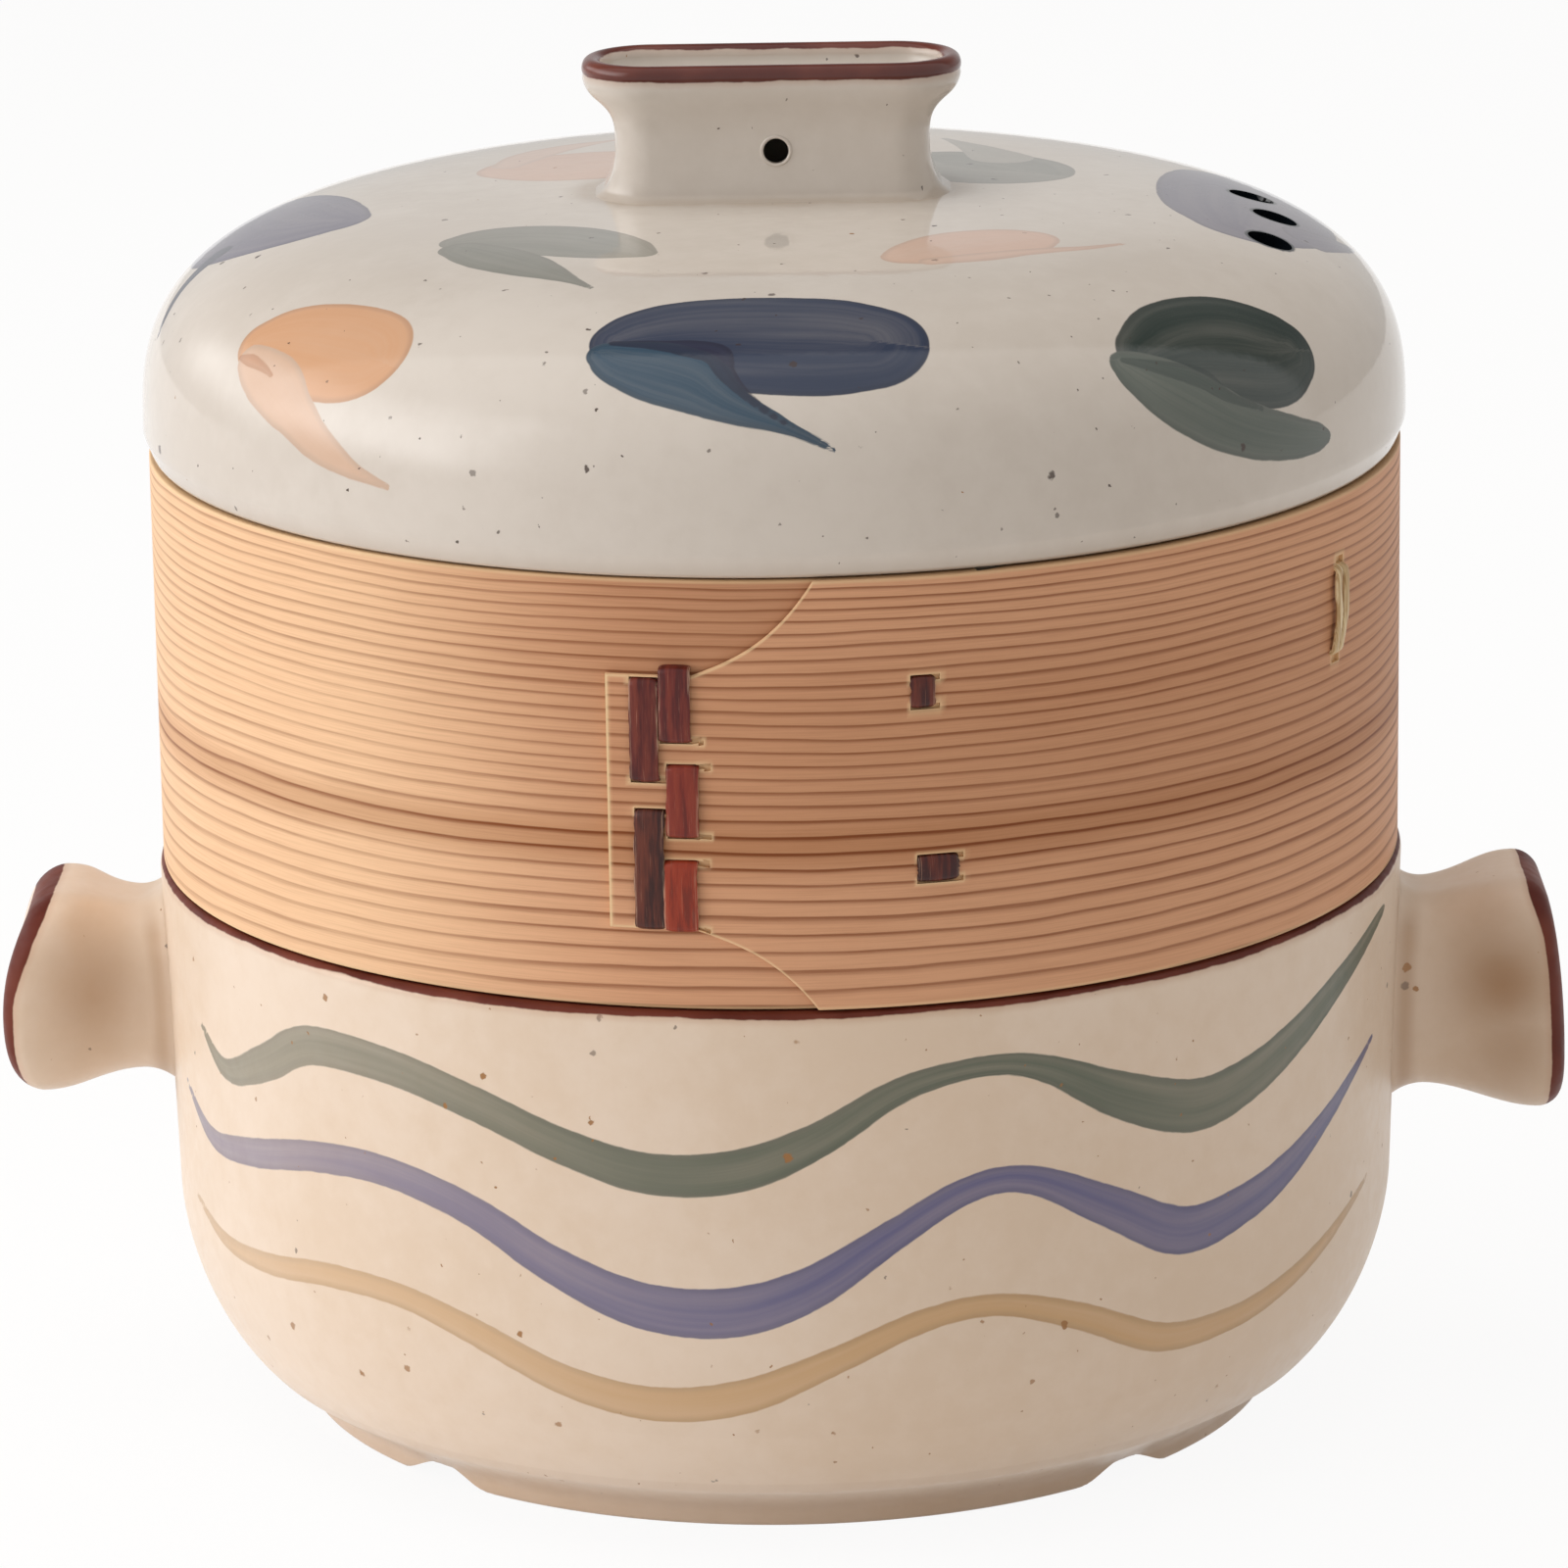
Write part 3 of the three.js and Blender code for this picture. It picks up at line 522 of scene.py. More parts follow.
def lid_glaze(colours):
    """Glossy grey cream glaze with painted leaves, dark specks and a brown lip."""
    material, tree, shader = new_material("Lid glaze")
    spot, base, peel = glaze_base(tree, tuple(colours.lid_cream), tuple(colours.lid_shade))
    # Painted shade in a grey brown, from the mesh's field: at the knob's foot and along the lid's lower edge
    base = mixed(tree, field(tree, "pool")["Fac"], base, linear("a58e74"))
    bare = base
    for name, lot, thin in (("leaf", 11.0, 0.16), ("tail", 23.0, 0.12), ("fold", 37.0, 0.3)):
        under = base if name == "fold" else bare
        paint, held = painted(tree, name, under, lot=lot, thin=thin, gather=0.3, hairs=0.4)
        base = mixed(tree, paint["Mask"], base, mixed(tree, held, under, paint["Color"]))
    base, dots = with_specks(tree, colours, spot, base, LID_SPECKS)
    # Painted shade: near black in the vents, in the knob's hollow and down the pin hole
    base = mixed(tree, fit(tree, field(tree, "hollow")["Fac"], 0.25, 0.8), base, linear("10151b"))
    base, brown = with_brown_edges(tree, colours, spot, base, 0.0022)
    rough = plus(tree, fit(tree, peel, 0.3, 0.7, 0.035, 0.065), times(tree, brown, 0.12))
    dressed(tree, shader, base, rough, plus(tree, peel, times(tree, dots, -0.5)), 0.02 * MM)
    return material


def hoop_wood(name, tones, spacing, lot, roughness):
    """A sawn board with its annual rings along it and fresh wood on its cut edges."""
    material, tree, shader = new_material(name)
    pale, dark = (tuple(tone) for tone in tones)
    board = field(tree, "board")["Vector"]
    cut = field(tree, "cut")["Fac"]
    rings = use_group(tree, wood_rings(), board=board, spacing=spacing, tighten=0.019, waver=0.011, lot=lot)
    late = fit(tree, rings["Ring"], 0.4, 0.9)
    sharp = calc(tree, "POWER", late, fit(tree, rings["Weight"], 0.0, 1.0, 1.3, 3.6, smooth=False))
    line = times(tree, sharp, fit(tree, rings["Ring"], 1.0, 0.9))
    painted_sheen, painted_board_shade = board_tones(tree, board)
    early = mixed(tree, fit(tree, rings["Broad"], 0.4, 0.9, 0.0, 0.45), pale, linear("bd7f55"))
    # Painted shade over the board, deepest at mid height, and a pale painted sheen at the left of the front
    early = laid(tree, painted_board_shade, 0.4, early, "b27c56")
    early = laid(tree, painted_sheen, 0.75, early, "f2cda5")
    streak = streak_band(tree, board)
    early = laid(tree, streak, 0.4, early, "a1683a")
    # Painted shade beside the lap's tongue
    early = laid(tree, lap_shade(tree, board), 0.45, early, "a06a45")
    fibre = fit(tree, rings["Fibre"], 0.3, 0.75, -0.04, 0.14)
    strength = plus(tree, fit(tree, rings["Broad"], 0.25, 0.75, 0.56, 0.86), times(tree, streak, 0.4))
    # The ring lines fade under the painted sheen
    strength = minus(tree, strength, times(tree, painted_sheen, 0.34))
    amount = calc(tree, "ADD", times(tree, line, strength), fibre, clamp=True)
    base = mixed(tree, amount, early, dark)
    base = laid(tree, cut, 0.85, base, "efd3a6")
    rough = fit(tree, rings["Fibre"], 0.2, 0.8, roughness - 0.07, roughness + 0.07)
    height = minus(tree, times(tree, rings["Fibre"], 0.5), times(tree, line, 0.2))
    dressed(tree, shader, base, rough, height, 0.06 * MM)
    shader.inputs["Specular IOR Level"].default_value = 0.3
    return material


# Places on the hoop's board, in metres along it and up it
STREAK_HEIGHT = 28.5 * MM
STREAK_HALF = 6.2 * MM
SHADE_BAND_HEIGHT = 43 * MM
PAINTED_SHEEN_START = (0.46, 0.54)
PAINTED_SHEEN_END = (0.69, 0.62)


def streak_band(tree, board):
    """The darker streak that runs along the board a little under its middle."""
    along, height, _depth = split_vector(tree, board)
    bend = joined_vector(tree, times(tree, along, 7.0), 0.0, 0.0)
    centre = times(tree, minus(tree, noise(tree, bend, 1.0, 2.0), 0.5), 6 * MM)
    away = calc(tree, "ABSOLUTE", minus(tree, plus(tree, height, centre), STREAK_HEIGHT))
    return fit(tree, away, STREAK_HALF, 1 * MM)


def board_tones(tree, board):
    """A pale painted sheen at the left of the front, and painted shade, deepest at mid height, elsewhere."""
    along, height, _depth = split_vector(tree, board)
    pale = times(tree, fit(tree, along, *PAINTED_SHEEN_END), fit(tree, along, *PAINTED_SHEEN_START))
    away = calc(tree, "ABSOLUTE", minus(tree, height, SHADE_BAND_HEIGHT))
    deep = times(tree, fit(tree, away, 28 * MM, 8 * MM), minus(tree, 1.0, pale))
    return pale, deep


def lap_shade(tree, board):
    """Painted shade on the upper part of the lap's lower layer, beside the tongue."""
    along, height, _depth = split_vector(tree, board)
    near = fit(tree, along, 0.62, 0.7)
    return times(tree, near, fit(tree, height, 0.044, 0.066))


SHELF_REACH = 105 * MM
SLAT_SPACING = 15 * MM


def bamboo_wood(colours):
    """Split bamboo strips: long fibres, a tone for each strip and darker node lines."""
    material, tree, shader = new_material("Bamboo strips")
    x, y, z = split_vector(tree, place(tree))
    normal = add_node(tree, "ShaderNodeNewGeometry").outputs["Normal"]
    strip = calc(tree, "FLOOR", calc(tree, "DIVIDE", plus(tree, y, SHELF_REACH), SLAT_SPACING))
    lot = lot_of(tree, strip)
    board = joined_vector(tree, x, plus(tree, y, times(tree, z, 0.7)), z)
    shift = times(tree, lot, 40.0)
    rings = use_group(tree, wood_rings(), board=board, spacing=0.0011, tighten=0.001, waver=0.002, lot=shift)
    fibre = fit(tree, rings["Fibre"], 0.3, 0.72, 0.0, 0.55)
    pale = mixed(tree, lot, tuple(colours.bamboo), linear("cfae76"))
    base = mixed(tree, fibre, pale, linear("b88f57"))
    knots = noise(tree, joined_vector(tree, times(tree, x, 9.0), lot, strip), 1.0, 1.0)
    node_line = fit(tree, knots, 0.66, 0.7)
    base = laid(tree, node_line, 0.35, base, "a57a45")
    rough = fit(tree, rings["Fibre"], 0.2, 0.8, 0.42, 0.6)
    facing = calc(tree, "ABSOLUTE", split_vector(tree, normal)[2])
    dressed(tree, shader, base, rough, times(tree, rings["Fibre"], facing), 0.08 * MM)
    return material


def bark_skin():
    """Polished cherry bark: each stitch in its own tone, with streaks and thin glints along the strip."""
    material, tree, shader = new_material("Cherry bark")
    along, across, depth = split_vector(tree, field(tree, "strip")["Vector"])
    streaks = drawn_out(tree, along, 70.0, across, 620.0, depth)
    threads = drawn_out(tree, along, 160.0, across, 5200.0, depth)
    streak = noise(tree, streaks, 1.0, 3.0, 0.6)
    thread = noise(tree, threads, 1.0, 3.0, 0.6)
    tone = field(tree, "bark_tone")["Color"]
    lighter = mixed(tree, 0.16, tone, linear("c8674a"))
    darker = mixed(tree, 0.4, tone, linear("1c0808"))
    base = mixed(tree, fit(tree, streak, 0.4, 0.66), tone, lighter)
    base = mixed(tree, fit(tree, streak, 0.5, 0.34), base, darker)
    # Thin painted glints along the strip
    base = laid(tree, fit(tree, thread, 0.62, 0.72), 0.25, base, "d29a80")
    worn = field(tree, "cut")["Fac"]
    base = mixed(tree, times(tree, worn, fit(tree, thread, 0.5, 0.62)), base, linear("d9b79c"))
    rough = fit(tree, streak, 0.3, 0.7, 0.3, 0.46)
    shader.inputs["Specular IOR Level"].default_value = 0.35
    dressed(tree, shader, base, rough, plus(tree, streak, times(tree, thread, 0.4)), 0.1 * MM)
    return material


def cane_skin(colours):
    """Split cane: pale, silky and fibrous."""
    material, tree, shader = new_material("Split cane")
    along, across, depth = split_vector(tree, field(tree, "strip")["Vector"])
    threads = drawn_out(tree, along, 60.0, across, 2600.0, depth)
    thread = noise(tree, threads, 1.0, 4.0, 0.6)
    base = mixed(tree, fit(tree, thread, 0.35, 0.7), tuple(colours.cane), linear("a77f48"))
    dressed(tree, shader, base, fit(tree, thread, 0.3, 0.7, 0.32, 0.5), thread, 0.1 * MM)
    return material


# Mesh helpers


def arc(centre, radius, start, end, steps):
    """Points of a circular arc in the plane of a profile, angles in degrees."""
    turn = np.radians(np.linspace(start, end, steps + 1))
    return np.stack([centre[0] + radius * np.cos(turn), centre[1] + radius * np.sin(turn)], 1)


def line(start, end, steps):
    """Points of a straight run, without its last point."""
    share = np.linspace(0.0, 1.0, steps, endpoint=False)[:, None]
    return np.asarray(start) * (1 - share) + np.asarray(end) * share


def quarter(centre, half_width, half_height, width_power, height_power, steps):
    """Points from the side to the top of a quarter of a superellipse."""
    turn = np.linspace(0.0, math.pi / 2, steps + 1)
    across = half_width * np.cos(turn).clip(0) ** (2 / width_power)
    up = half_height * np.sin(turn).clip(0) ** (2 / height_power)
    return np.stack([centre[0] + across, centre[1] + up], 1)


def turned_rings(profile, bearings):
    """Rings of points round the axis, one for each point of a profile."""
    turn = np.radians(bearings)[None, :]
    radius = profile[:, 0:1]
    height = np.broadcast_to(profile[:, 1:2], (len(profile), len(bearings)))
    return np.stack([radius * np.sin(turn), -radius * np.cos(turn), height], 2)


def skin(rings):
    """Vertices and faces over closed rings of points, with a fan over each end."""
    count, size = rings.shape[:2]
    row = np.arange(count - 1)[:, None] * size
    here = np.arange(size)[None, :]
    after = (here + 1) % size
    quads = np.stack([row + here, row + after, row + after + size, row + here + size], 2).reshape(-1, 4)
    verts = rings.reshape(-1, 3).tolist()
    faces = quads.tolist()
    for ring in (0, count - 1):
        verts.append(rings[ring].mean(0).tolist())
        hub = len(verts) - 1
        faces.extend([hub, ring * size + k, ring * size + (k + 1) % size] for k in range(size))
    return verts, faces


def piece_mesh(name, verts, faces):
    """A closed mesh with its faces turned outward."""
    mesh = bpy.data.meshes.new(name)
    mesh.from_pydata(verts, [], faces)
    shell = bmesh.new()
    shell.from_mesh(mesh)
    bmesh.ops.recalc_face_normals(shell, faces=shell.faces)
    shell.to_mesh(mesh)
    shell.free()
    return mesh


def placed(name, data):
    """An object in the scene, in place of an older one of that name."""
    older = bpy.data.objects.get(name)
    if older:
        bpy.data.objects.remove(older)
    made = bpy.data.objects.new(name, data)
    bpy.context.scene.collection.objects.link(made)
    return made


def new_piece(name, mesh, material, sharp=35.0):
    """A mesh as a piece with its material, smooth but for edges sharper than an angle."""
    made = placed(name, mesh)
    mesh.materials.clear()
    mesh.materials.append(material)
    mesh.shade_smooth()
    mesh.set_sharp_from_angle(angle=math.radians(sharp))
    return made


def points_of(mesh):
    """The vertices of a mesh as an array."""
    flat = np.empty(len(mesh.vertices) * 3)
    mesh.vertices.foreach_get("co", flat)
    return flat.reshape(-1, 3)


def set_field(mesh, name, values):
    """Gives each vertex a value, a vector of three or a colour of four."""
    values = np.asarray(values, np.float32)
    wide = 1 if values.ndim == 1 else values.shape[1]
    kind, slot = {1: ("FLOAT", "value"), 3: ("FLOAT_VECTOR", "vector"), 4: ("FLOAT_COLOR", "color")}[wide]
    made = mesh.attributes.get(name) or mesh.attributes.new(name, kind, "POINT")
    made.data.foreach_set(slot, values.ravel())


def bell(distance, width):
    """One at no distance, fading to nothing beyond a width."""
    return np.exp(-((distance / width) ** 2))


def eased(share):
    """A share held between nothing and one, that starts and ends softly."""
    share = np.clip(share, 0, 1)
    return share * share * (3 - 2 * share)


def round_gap(across, up, half_across, half_up, corner):
    """How far points lie outside a rounded rectangle; less than nothing inside it."""
    beyond = np.stack([np.abs(across) - half_across, np.abs(up) - half_up], 1) + corner
    return np.hypot(*np.maximum(beyond, 0).T) + np.minimum(beyond.max(1), 0) - corner


def smooth_route(points, per_span=6):
    """A curve through given points, as more points."""
    points = np.asarray(points, float)
    padded = np.vstack([2 * points[0] - points[1], points, 2 * points[-1] - points[-2]])
    found = []
    for i in range(len(points) - 1):
        a, b, c, d = padded[i : i + 4]
        for t in np.linspace(0, 1, per_span, endpoint=False):
            bend = (2 * a - 5 * b + 4 * c - d) * t**2 + (3 * b - a - 3 * c + d) * t**3
            found.append(0.5 * (2 * b + (c - a) * t + bend))
    found.append(points[-1])
    return np.asarray(found)


def stroke_field(spots, route):
    """How far each spot lies outside a brush stroke, how far along it and how far across it."""
    best = np.full(len(spots), 1e9)
    along = np.zeros(len(spots))
    across = np.zeros(len(spots))
    run = 0.0
    for start, end in zip(route[:-1], route[1:]):
        step = end[:2] - start[:2]
        span = float(np.hypot(*step)) or 1e-9
        offset = spots - start[:2]
        share = np.clip(offset @ step / span**2, 0, 1)
        gap = offset - share[:, None] * step
        reach = np.hypot(gap[:, 0], gap[:, 1])
        width = np.maximum(start[2] + (end[2] - start[2]) * share, 1e-6)
        side = np.sign(step[0] * offset[:, 1] - step[1] * offset[:, 0])
        distance = reach - width
        nearer = distance < best
        best[nearer] = distance[nearer]
        along[nearer] = run + share[nearer] * span
        across[nearer] = side[nearer] * reach[nearer] / width[nearer]
        run += span
    return np.stack([best, along, np.clip(across, -3, 3)], 1)


def unpainted(mesh, *names):
    """Gives a mesh the fields of brush strokes without a stroke."""
    for name in names:
        set_field(mesh, name, np.full((len(mesh.vertices), 3), 1.0))
        set_field(mesh, name + "_paint", np.ones((len(mesh.vertices), 4)))


def painted_fields(mesh, name, spots, strokes):
    """Gives a mesh the nearest of several brush strokes, and its paint."""
    best = np.full((len(spots), 3), 1e9)
    paint = np.zeros((len(spots), 4))
    for number, (colour, points) in enumerate(strokes):
        route = smooth_route(np.asarray(points, float) * MM)
        found = stroke_field(spots, route)
        found[:, 1] += number * 0.37
        nearer = found[:, 0] < best[:, 0]
        best[nearer] = found[nearer]
        paint[nearer] = colour
    set_field(mesh, name, best)
    set_field(mesh, name + "_paint", paint)


# Pot

# Stripes: (bearing in degrees, height, half width in millimetres)
GREEN_STRIPE = [
    (-67.3, 79.8, 0.6), (-61.5, 74, 2.1), (-54, 79, 3.4), (-47, 85.5, 3.6), (-37, 85.5, 3.4),
    (-28, 81.5, 3.3), (-20, 76, 3.4), (-12, 72, 3.8), (-4, 73, 3.9), (3, 78.5, 3.2), (10, 86.5, 2.4),
    (17, 89.5, 1.9), (23, 88, 2.4), (31, 80.5, 4.2), (39, 75.5, 4.9), (46, 77.3, 4.4), (53, 82, 3.6),
    (59, 86.8, 2.9), (65, 91, 2.1), (69.5, 93.8, 1.5), (72.3, 95, 0.9),
]
VIOLET_STRIPE = [
    (-73.4, 65.4, 0.6), (-66, 59, 1.9), (-58, 60.5, 2.7), (-47, 65, 2.9), (-38, 66, 2.9), (-29, 62, 3.1),
    (-21, 54, 3.6), (-13, 48, 4.3), (-5, 47.2, 4.6), (2, 51.5, 4.0), (9, 60, 3.0), (16, 67.5, 2.5),
    (22, 68, 2.6), (30, 60.5, 3.7), (38, 53, 4.4), (46, 54.5, 3.9), (52, 58, 3.2), (58, 63, 2.2),
    (64, 68.3, 1.3), (67.5, 71, 0.85), (69.7, 72.6, 0.6),
]
OCHRE_STRIPE = [
    (-72.4, 44.6, 0.6), (-64, 40.5, 1.5), (-55, 41, 2.1), (-46, 43.5, 2.3), (-37, 43.5, 2.3),
    (-29, 39.5, 2.7), (-20, 32.5, 3.2), (-12, 29.5, 3.5), (-4, 31.5, 3.4), (4, 38, 2.6), (12, 44.5, 2.2),
    (19, 46, 2.1), (27, 41.5, 2.5), (36, 34, 2.8), (45, 33.6, 2.5), (51.5, 35.8, 2.2), (57.5, 39, 1.7),
    (63.5, 42.8, 1.1), (67.5, 45.2, 0.8), (69.4, 46.3, 0.6),
]
STRIPE_RADIUS = 112 * MM  # where the stripes are unrolled
NOTCHES = (41.9, -43.6, 136.4, -138.1)  # bearings
FOOT_EDGE = 0.8 * MM  # rounding of the foot ring
FOOT_STEP = 1.4 * MM  # from the foot ring out to the bowl
FOOT_BEND = 2.4 * MM  # height of the hollow between them on the foot's side
BOWL_BEND = 4.6 * MM  # its height on the bowl's side
LEDGE_DROP = 6.8 * MM  # from the rim down to the ledge inside
LEDGE_REACH = 4.4 * MM  # width and slope of the ledge
LIP = 0.6 * MM  # rounding of the rim's inner edge
RIM_BAND = 1.05 * MM  # bare brown clay below the rim's top
HUB = 4 * MM  # a turned profile ends this far from the axis, and a fan closes it
# Handles: (side, middle below the rim, height at the waist and at the flare, how far the end is drawn
# back: bow, lean and all over)
HANDLES = {
    "handle_left": (-1, 25.4 * MM, 31.6 * MM, 37 * MM, (4.6 * MM, 1.8 * MM, 0.6 * MM)),
    "handle_right": (1, 29.7 * MM, 36.2 * MM, 43 * MM, (1.5 * MM, 1.5 * MM, 0.4 * MM)),
}
# Warm blots on their fronts, partly pooled glaze and partly painted shade: (reach in millimetres, level,
# width in millimetres, height, strength)
POOLED_GLAZE_AND_SHADE_BLOTS = {
    "handle_left": ((125.0, 0.1, 8.0, 0.55, 0.5), (117.0, 0.0, 6.0, 0.5, 0.22)),
    "handle_right": ((131.0, 0.22, 9.0, 0.45, 0.75), (133.0, -0.35, 8.0, 0.4, 0.45)),
}
HANDLE_CORNER = 11 * MM
HANDLE_ROOT = 1.9 * MM  # how far a handle spreads where it meets the wall
ROOT_REACH = 6 * MM
WALL_REACH = 11 * MM  # over this length a section goes from the wall's curve to a plane
HANDLE_DISH = 1.8 * MM
HANDLE_BAND = 3.9 * MM  # bare brown clay round the dish


def pot_profile(sizes):
    """Radius and height of the pot's skin, from under the foot, up the outside and down the inside."""
    inner_foot = sizes.foot_radius - sizes.foot_width
    low = sizes.foot_height
    floor_top = sizes.foot_height + sizes.floor
    corner = sizes.floor_corner
    bore = sizes.belly_radius - sizes.wall
    ledge = sizes.height - LEDGE_DROP
    mouth = sizes.mouth_radius
    neck = (mouth - LEDGE_REACH, ledge - LEDGE_REACH)
    start = sizes.foot_radius + FOOT_STEP
    reach, depth = sizes.belly_radius - start, low - sizes.belly_height
    belly = quarter((start, sizes.belly_height), reach, depth, 1.72, 1.72, 90)
    rim = (sizes.rim_radius - sizes.rim_round, sizes.height - sizes.rim_round)
    return np.vstack([
        line((HUB, low), (inner_foot - FOOT_EDGE, low), 14),
        arc((inner_foot - FOOT_EDGE, low - FOOT_EDGE), FOOT_EDGE, 90, 0, 4),
        line((inner_foot, low - FOOT_EDGE * 1.2), (inner_foot, FOOT_EDGE), 7)[1:],
        arc((inner_foot + FOOT_EDGE, FOOT_EDGE), FOOT_EDGE, 180, 270, 4),
        line((inner_foot + FOOT_EDGE, 0), (sizes.foot_radius - FOOT_EDGE, 0), 6)[1:],
        arc((sizes.foot_radius - FOOT_EDGE, FOOT_EDGE), FOOT_EDGE, -90, 0, 4),
        line((sizes.foot_radius, FOOT_EDGE), (sizes.foot_radius, low - FOOT_BEND), 6)[1:],
        hollow(np.array([sizes.foot_radius, low - FOOT_BEND]), np.array([start, low]), belly[::-1]),
        line((sizes.belly_radius, sizes.belly_height), (sizes.rim_radius, rim[1]), 44)[1:],
        arc(rim, sizes.rim_round, 0, 90, 10),
        line((rim[0], sizes.height), (mouth + LIP, sizes.height), 3)[1:],
        arc((mouth + LIP, sizes.height - LIP), LIP, 90, 180, 5),
        line((mouth, sizes.height - 2 * LIP), (mouth, ledge), 5),
        line((mouth, ledge), neck, 5),
        line(neck, (bore, floor_top + corner), 24),
        quarter((bore - corner, floor_top + corner), corner, -corner, 2, 2, 36),
        line((bore - corner, floor_top), (HUB, floor_top), 20)[1:],
    ])


def hollow(first, corner, curve):
    """A soft bend from a point to a curve whose first points it takes the place of."""
    curve = curve[curve[:, 1] > corner[1] + BOWL_BEND]
    ways = np.linspace(0, 1, 8)[1:-1, None]
    bend = first * (1 - ways) ** 2 + corner * 2 * ways * (1 - ways) + curve[0] * ways**2
    return np.vstack([bend, curve])


def wall_radius(sizes, height):
    """Outer radius of the pot between its belly and its rim."""
    top = sizes.height - sizes.rim_round
    share = (height - sizes.belly_height) / (top - sizes.belly_height)
    return sizes.belly_radius + (sizes.rim_radius - sizes.belly_radius) * share


def notch_bearings(sizes):
    """Extra bearings that give each notch of the foot a smooth arch."""
    found = []
    for notch in NOTCHES:
        for share in (1.0, 0.85, 0.7, 0.55, 0.4, 0.25, 0.1):
            for foot in (sizes.foot_radius, sizes.foot_radius - sizes.foot_width):
                turn = math.degrees(math.asin(sizes.notch_width / 2 * share / foot))
                found += [notch + turn, notch - turn]
    return found


def cut_notches(rings, sizes):
    """Lifts the underside of the foot to an arch at each notch."""
    half = sizes.notch_width / 2
    inside_foot = sizes.foot_radius - sizes.foot_width - 4 * MM
    for turn in np.radians(NOTCHES):
        across = rings[..., 0] * math.cos(turn) + rings[..., 1] * math.sin(turn)
        outward = rings[..., 0] * math.sin(turn) - rings[..., 1] * math.cos(turn)
        arch = sizes.notch_height * (0.5 + 0.5 * np.cos(math.pi * np.clip(across / half, -1, 1)))
        low = (np.abs(across) < half) & (outward > inside_foot) & (rings[..., 2] < sizes.notch_height)
        rings[..., 2] = np.where(low, np.maximum(rings[..., 2], arch), rings[..., 2])


def pot_bowl(sizes, colours, material):
    """The thrown bowl with its foot, its four notches and its painted stripes."""
    bearings = [*np.linspace(-180, 180, sizes.steps, endpoint=False), *notch_bearings(sizes)]
    rings = turned_rings(pot_profile(sizes), np.unique(np.round(bearings, 3)))
    cut_notches(rings, sizes)
    mesh = piece_mesh("pot_bowl", *skin(rings))
    spots = points_of(mesh)
    radius = np.hypot(spots[:, 0], spots[:, 1])
    bearing = np.degrees(np.arctan2(spots[:, 0], -spots[:, 1]))
    height = spots[:, 2]
    outside = (radius > sizes.belly_radius - sizes.wall * 0.6) | (height < sizes.foot_height + sizes.floor)
    outside &= (radius > sizes.mouth_radius + 0.3 * MM) | (height < sizes.belly_height)
    # The back carries the same stripes, turned half round
    turned = np.where((np.abs(bearing) > 90) & outside, (bearing + 360) % 360 - 180, bearing)
    unrolled = np.stack([np.radians(turned) * STRIPE_RADIUS, np.where(outside, height, -1.0)], 1)
    strokes = []
    for colour, route in (
        (colours.green_stripe, GREEN_STRIPE),
        (colours.violet_stripe, VIOLET_STRIPE),
        (colours.ochre_stripe, OCHRE_STRIPE),
    ):
        flat = [(math.radians(turn) * STRIPE_RADIUS / MM, level, half) for turn, level, half in route]
        strokes.append((tuple(colour), flat))
    painted_fields(mesh, "stripe", unrolled, strokes)
    below = sizes.height - height
    glazed = (radius <= sizes.mouth_radius - 0.5 * MM) | (
        (radius < sizes.mouth_radius + 0.5 * MM) & (below > 0.4 * MM)
    )
    set_field(mesh, "brown_depth", np.where(glazed, -1.0, RIM_BAND - below))
    # Painted shade on the wall round each handle, and darker towards the foot
    handles = np.zeros(len(spots))
    for side, drop, waist, _flare, _drawn in HANDLES.values():
        up = np.abs(below - drop) - waist / 2
        out = np.abs(spots[:, 1]) - sizes.handle_waist / 2
        gap = np.hypot(np.maximum(up, 0), np.maximum(out, 0))
        handles = np.maximum(handles, bell(gap, 3.5 * MM) * (spots[:, 0] * side > 0.08))
    low_shade = eased((8.5 * MM - height) / (5 * MM)) * 0.14 + bell(height, 16 * MM) * 0.16
    set_field(mesh, "pool", np.maximum(handles * 0.45, low_shade) * outside)
    bowl = new_piece("pot_bowl", mesh, material, 50.0)
    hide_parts("pot_base", "pot_wall")
    return bowl


def rounded_outline(half_across, half_up, corner, per_corner=10, per_side=14):
    """A rounded rectangle, anticlockwise, with points along its sides as well."""
    corner = min(corner, half_across, half_up)
    bends = []
    for turn, side_a, side_u in ((0, 1, 1), (90, -1, 1), (180, -1, -1), (270, 1, -1)):
        hub = (side_a * (half_across - corner), side_u * (half_up - corner))
        bends.append(arc(hub, corner, turn, turn + 90, per_corner))
    sides = [line(bend[-1], after[0], per_side)[1:] for bend, after in zip(bends, bends[1:] + bends[:1])]
    return np.vstack([part for pair in zip(bends, sides) for part in pair])


def pooled_glaze_and_shade_blot(out, up, centre, level, width, tall, strength):
    """A soft blot on the front of a handle, partly pooled glaze and partly painted shade."""
    return bell(out - centre * MM, width * MM) * bell(up - level, tall) * strength


def handle_levels(sizes):
    """A handle's sections: distance from the wall, share of the flare, growth and share closed."""
    neck = sizes.handle_length - sizes.handle_lip
    levels = []
    for gap in (-1.6 * MM, -0.5 * MM, *np.linspace(0, neck, 40)):
        root = HANDLE_ROOT * (1 - min(max(gap, 0) / ROOT_REACH, 1)) ** 2.3
        levels.append((gap, eased((gap / neck - 0.2) / 0.8), root, 0.0))
    for turn in np.radians(np.linspace(8, 90, 9)):
        gap = neck + sizes.handle_lip * math.sin(turn)
        levels.append((gap, 1.0, -sizes.handle_lip * (1 - math.cos(turn)), 0.0))
    for closed in (0.15, 0.35, 0.6, 0.8, 0.92):
        sunk = HANDLE_DISH * (0.5 - 0.5 * math.cos(math.pi * min(closed * 1.8, 1)))
        levels.append((sizes.handle_length - sunk, 1.0, -sizes.handle_lip, closed))
    return levels


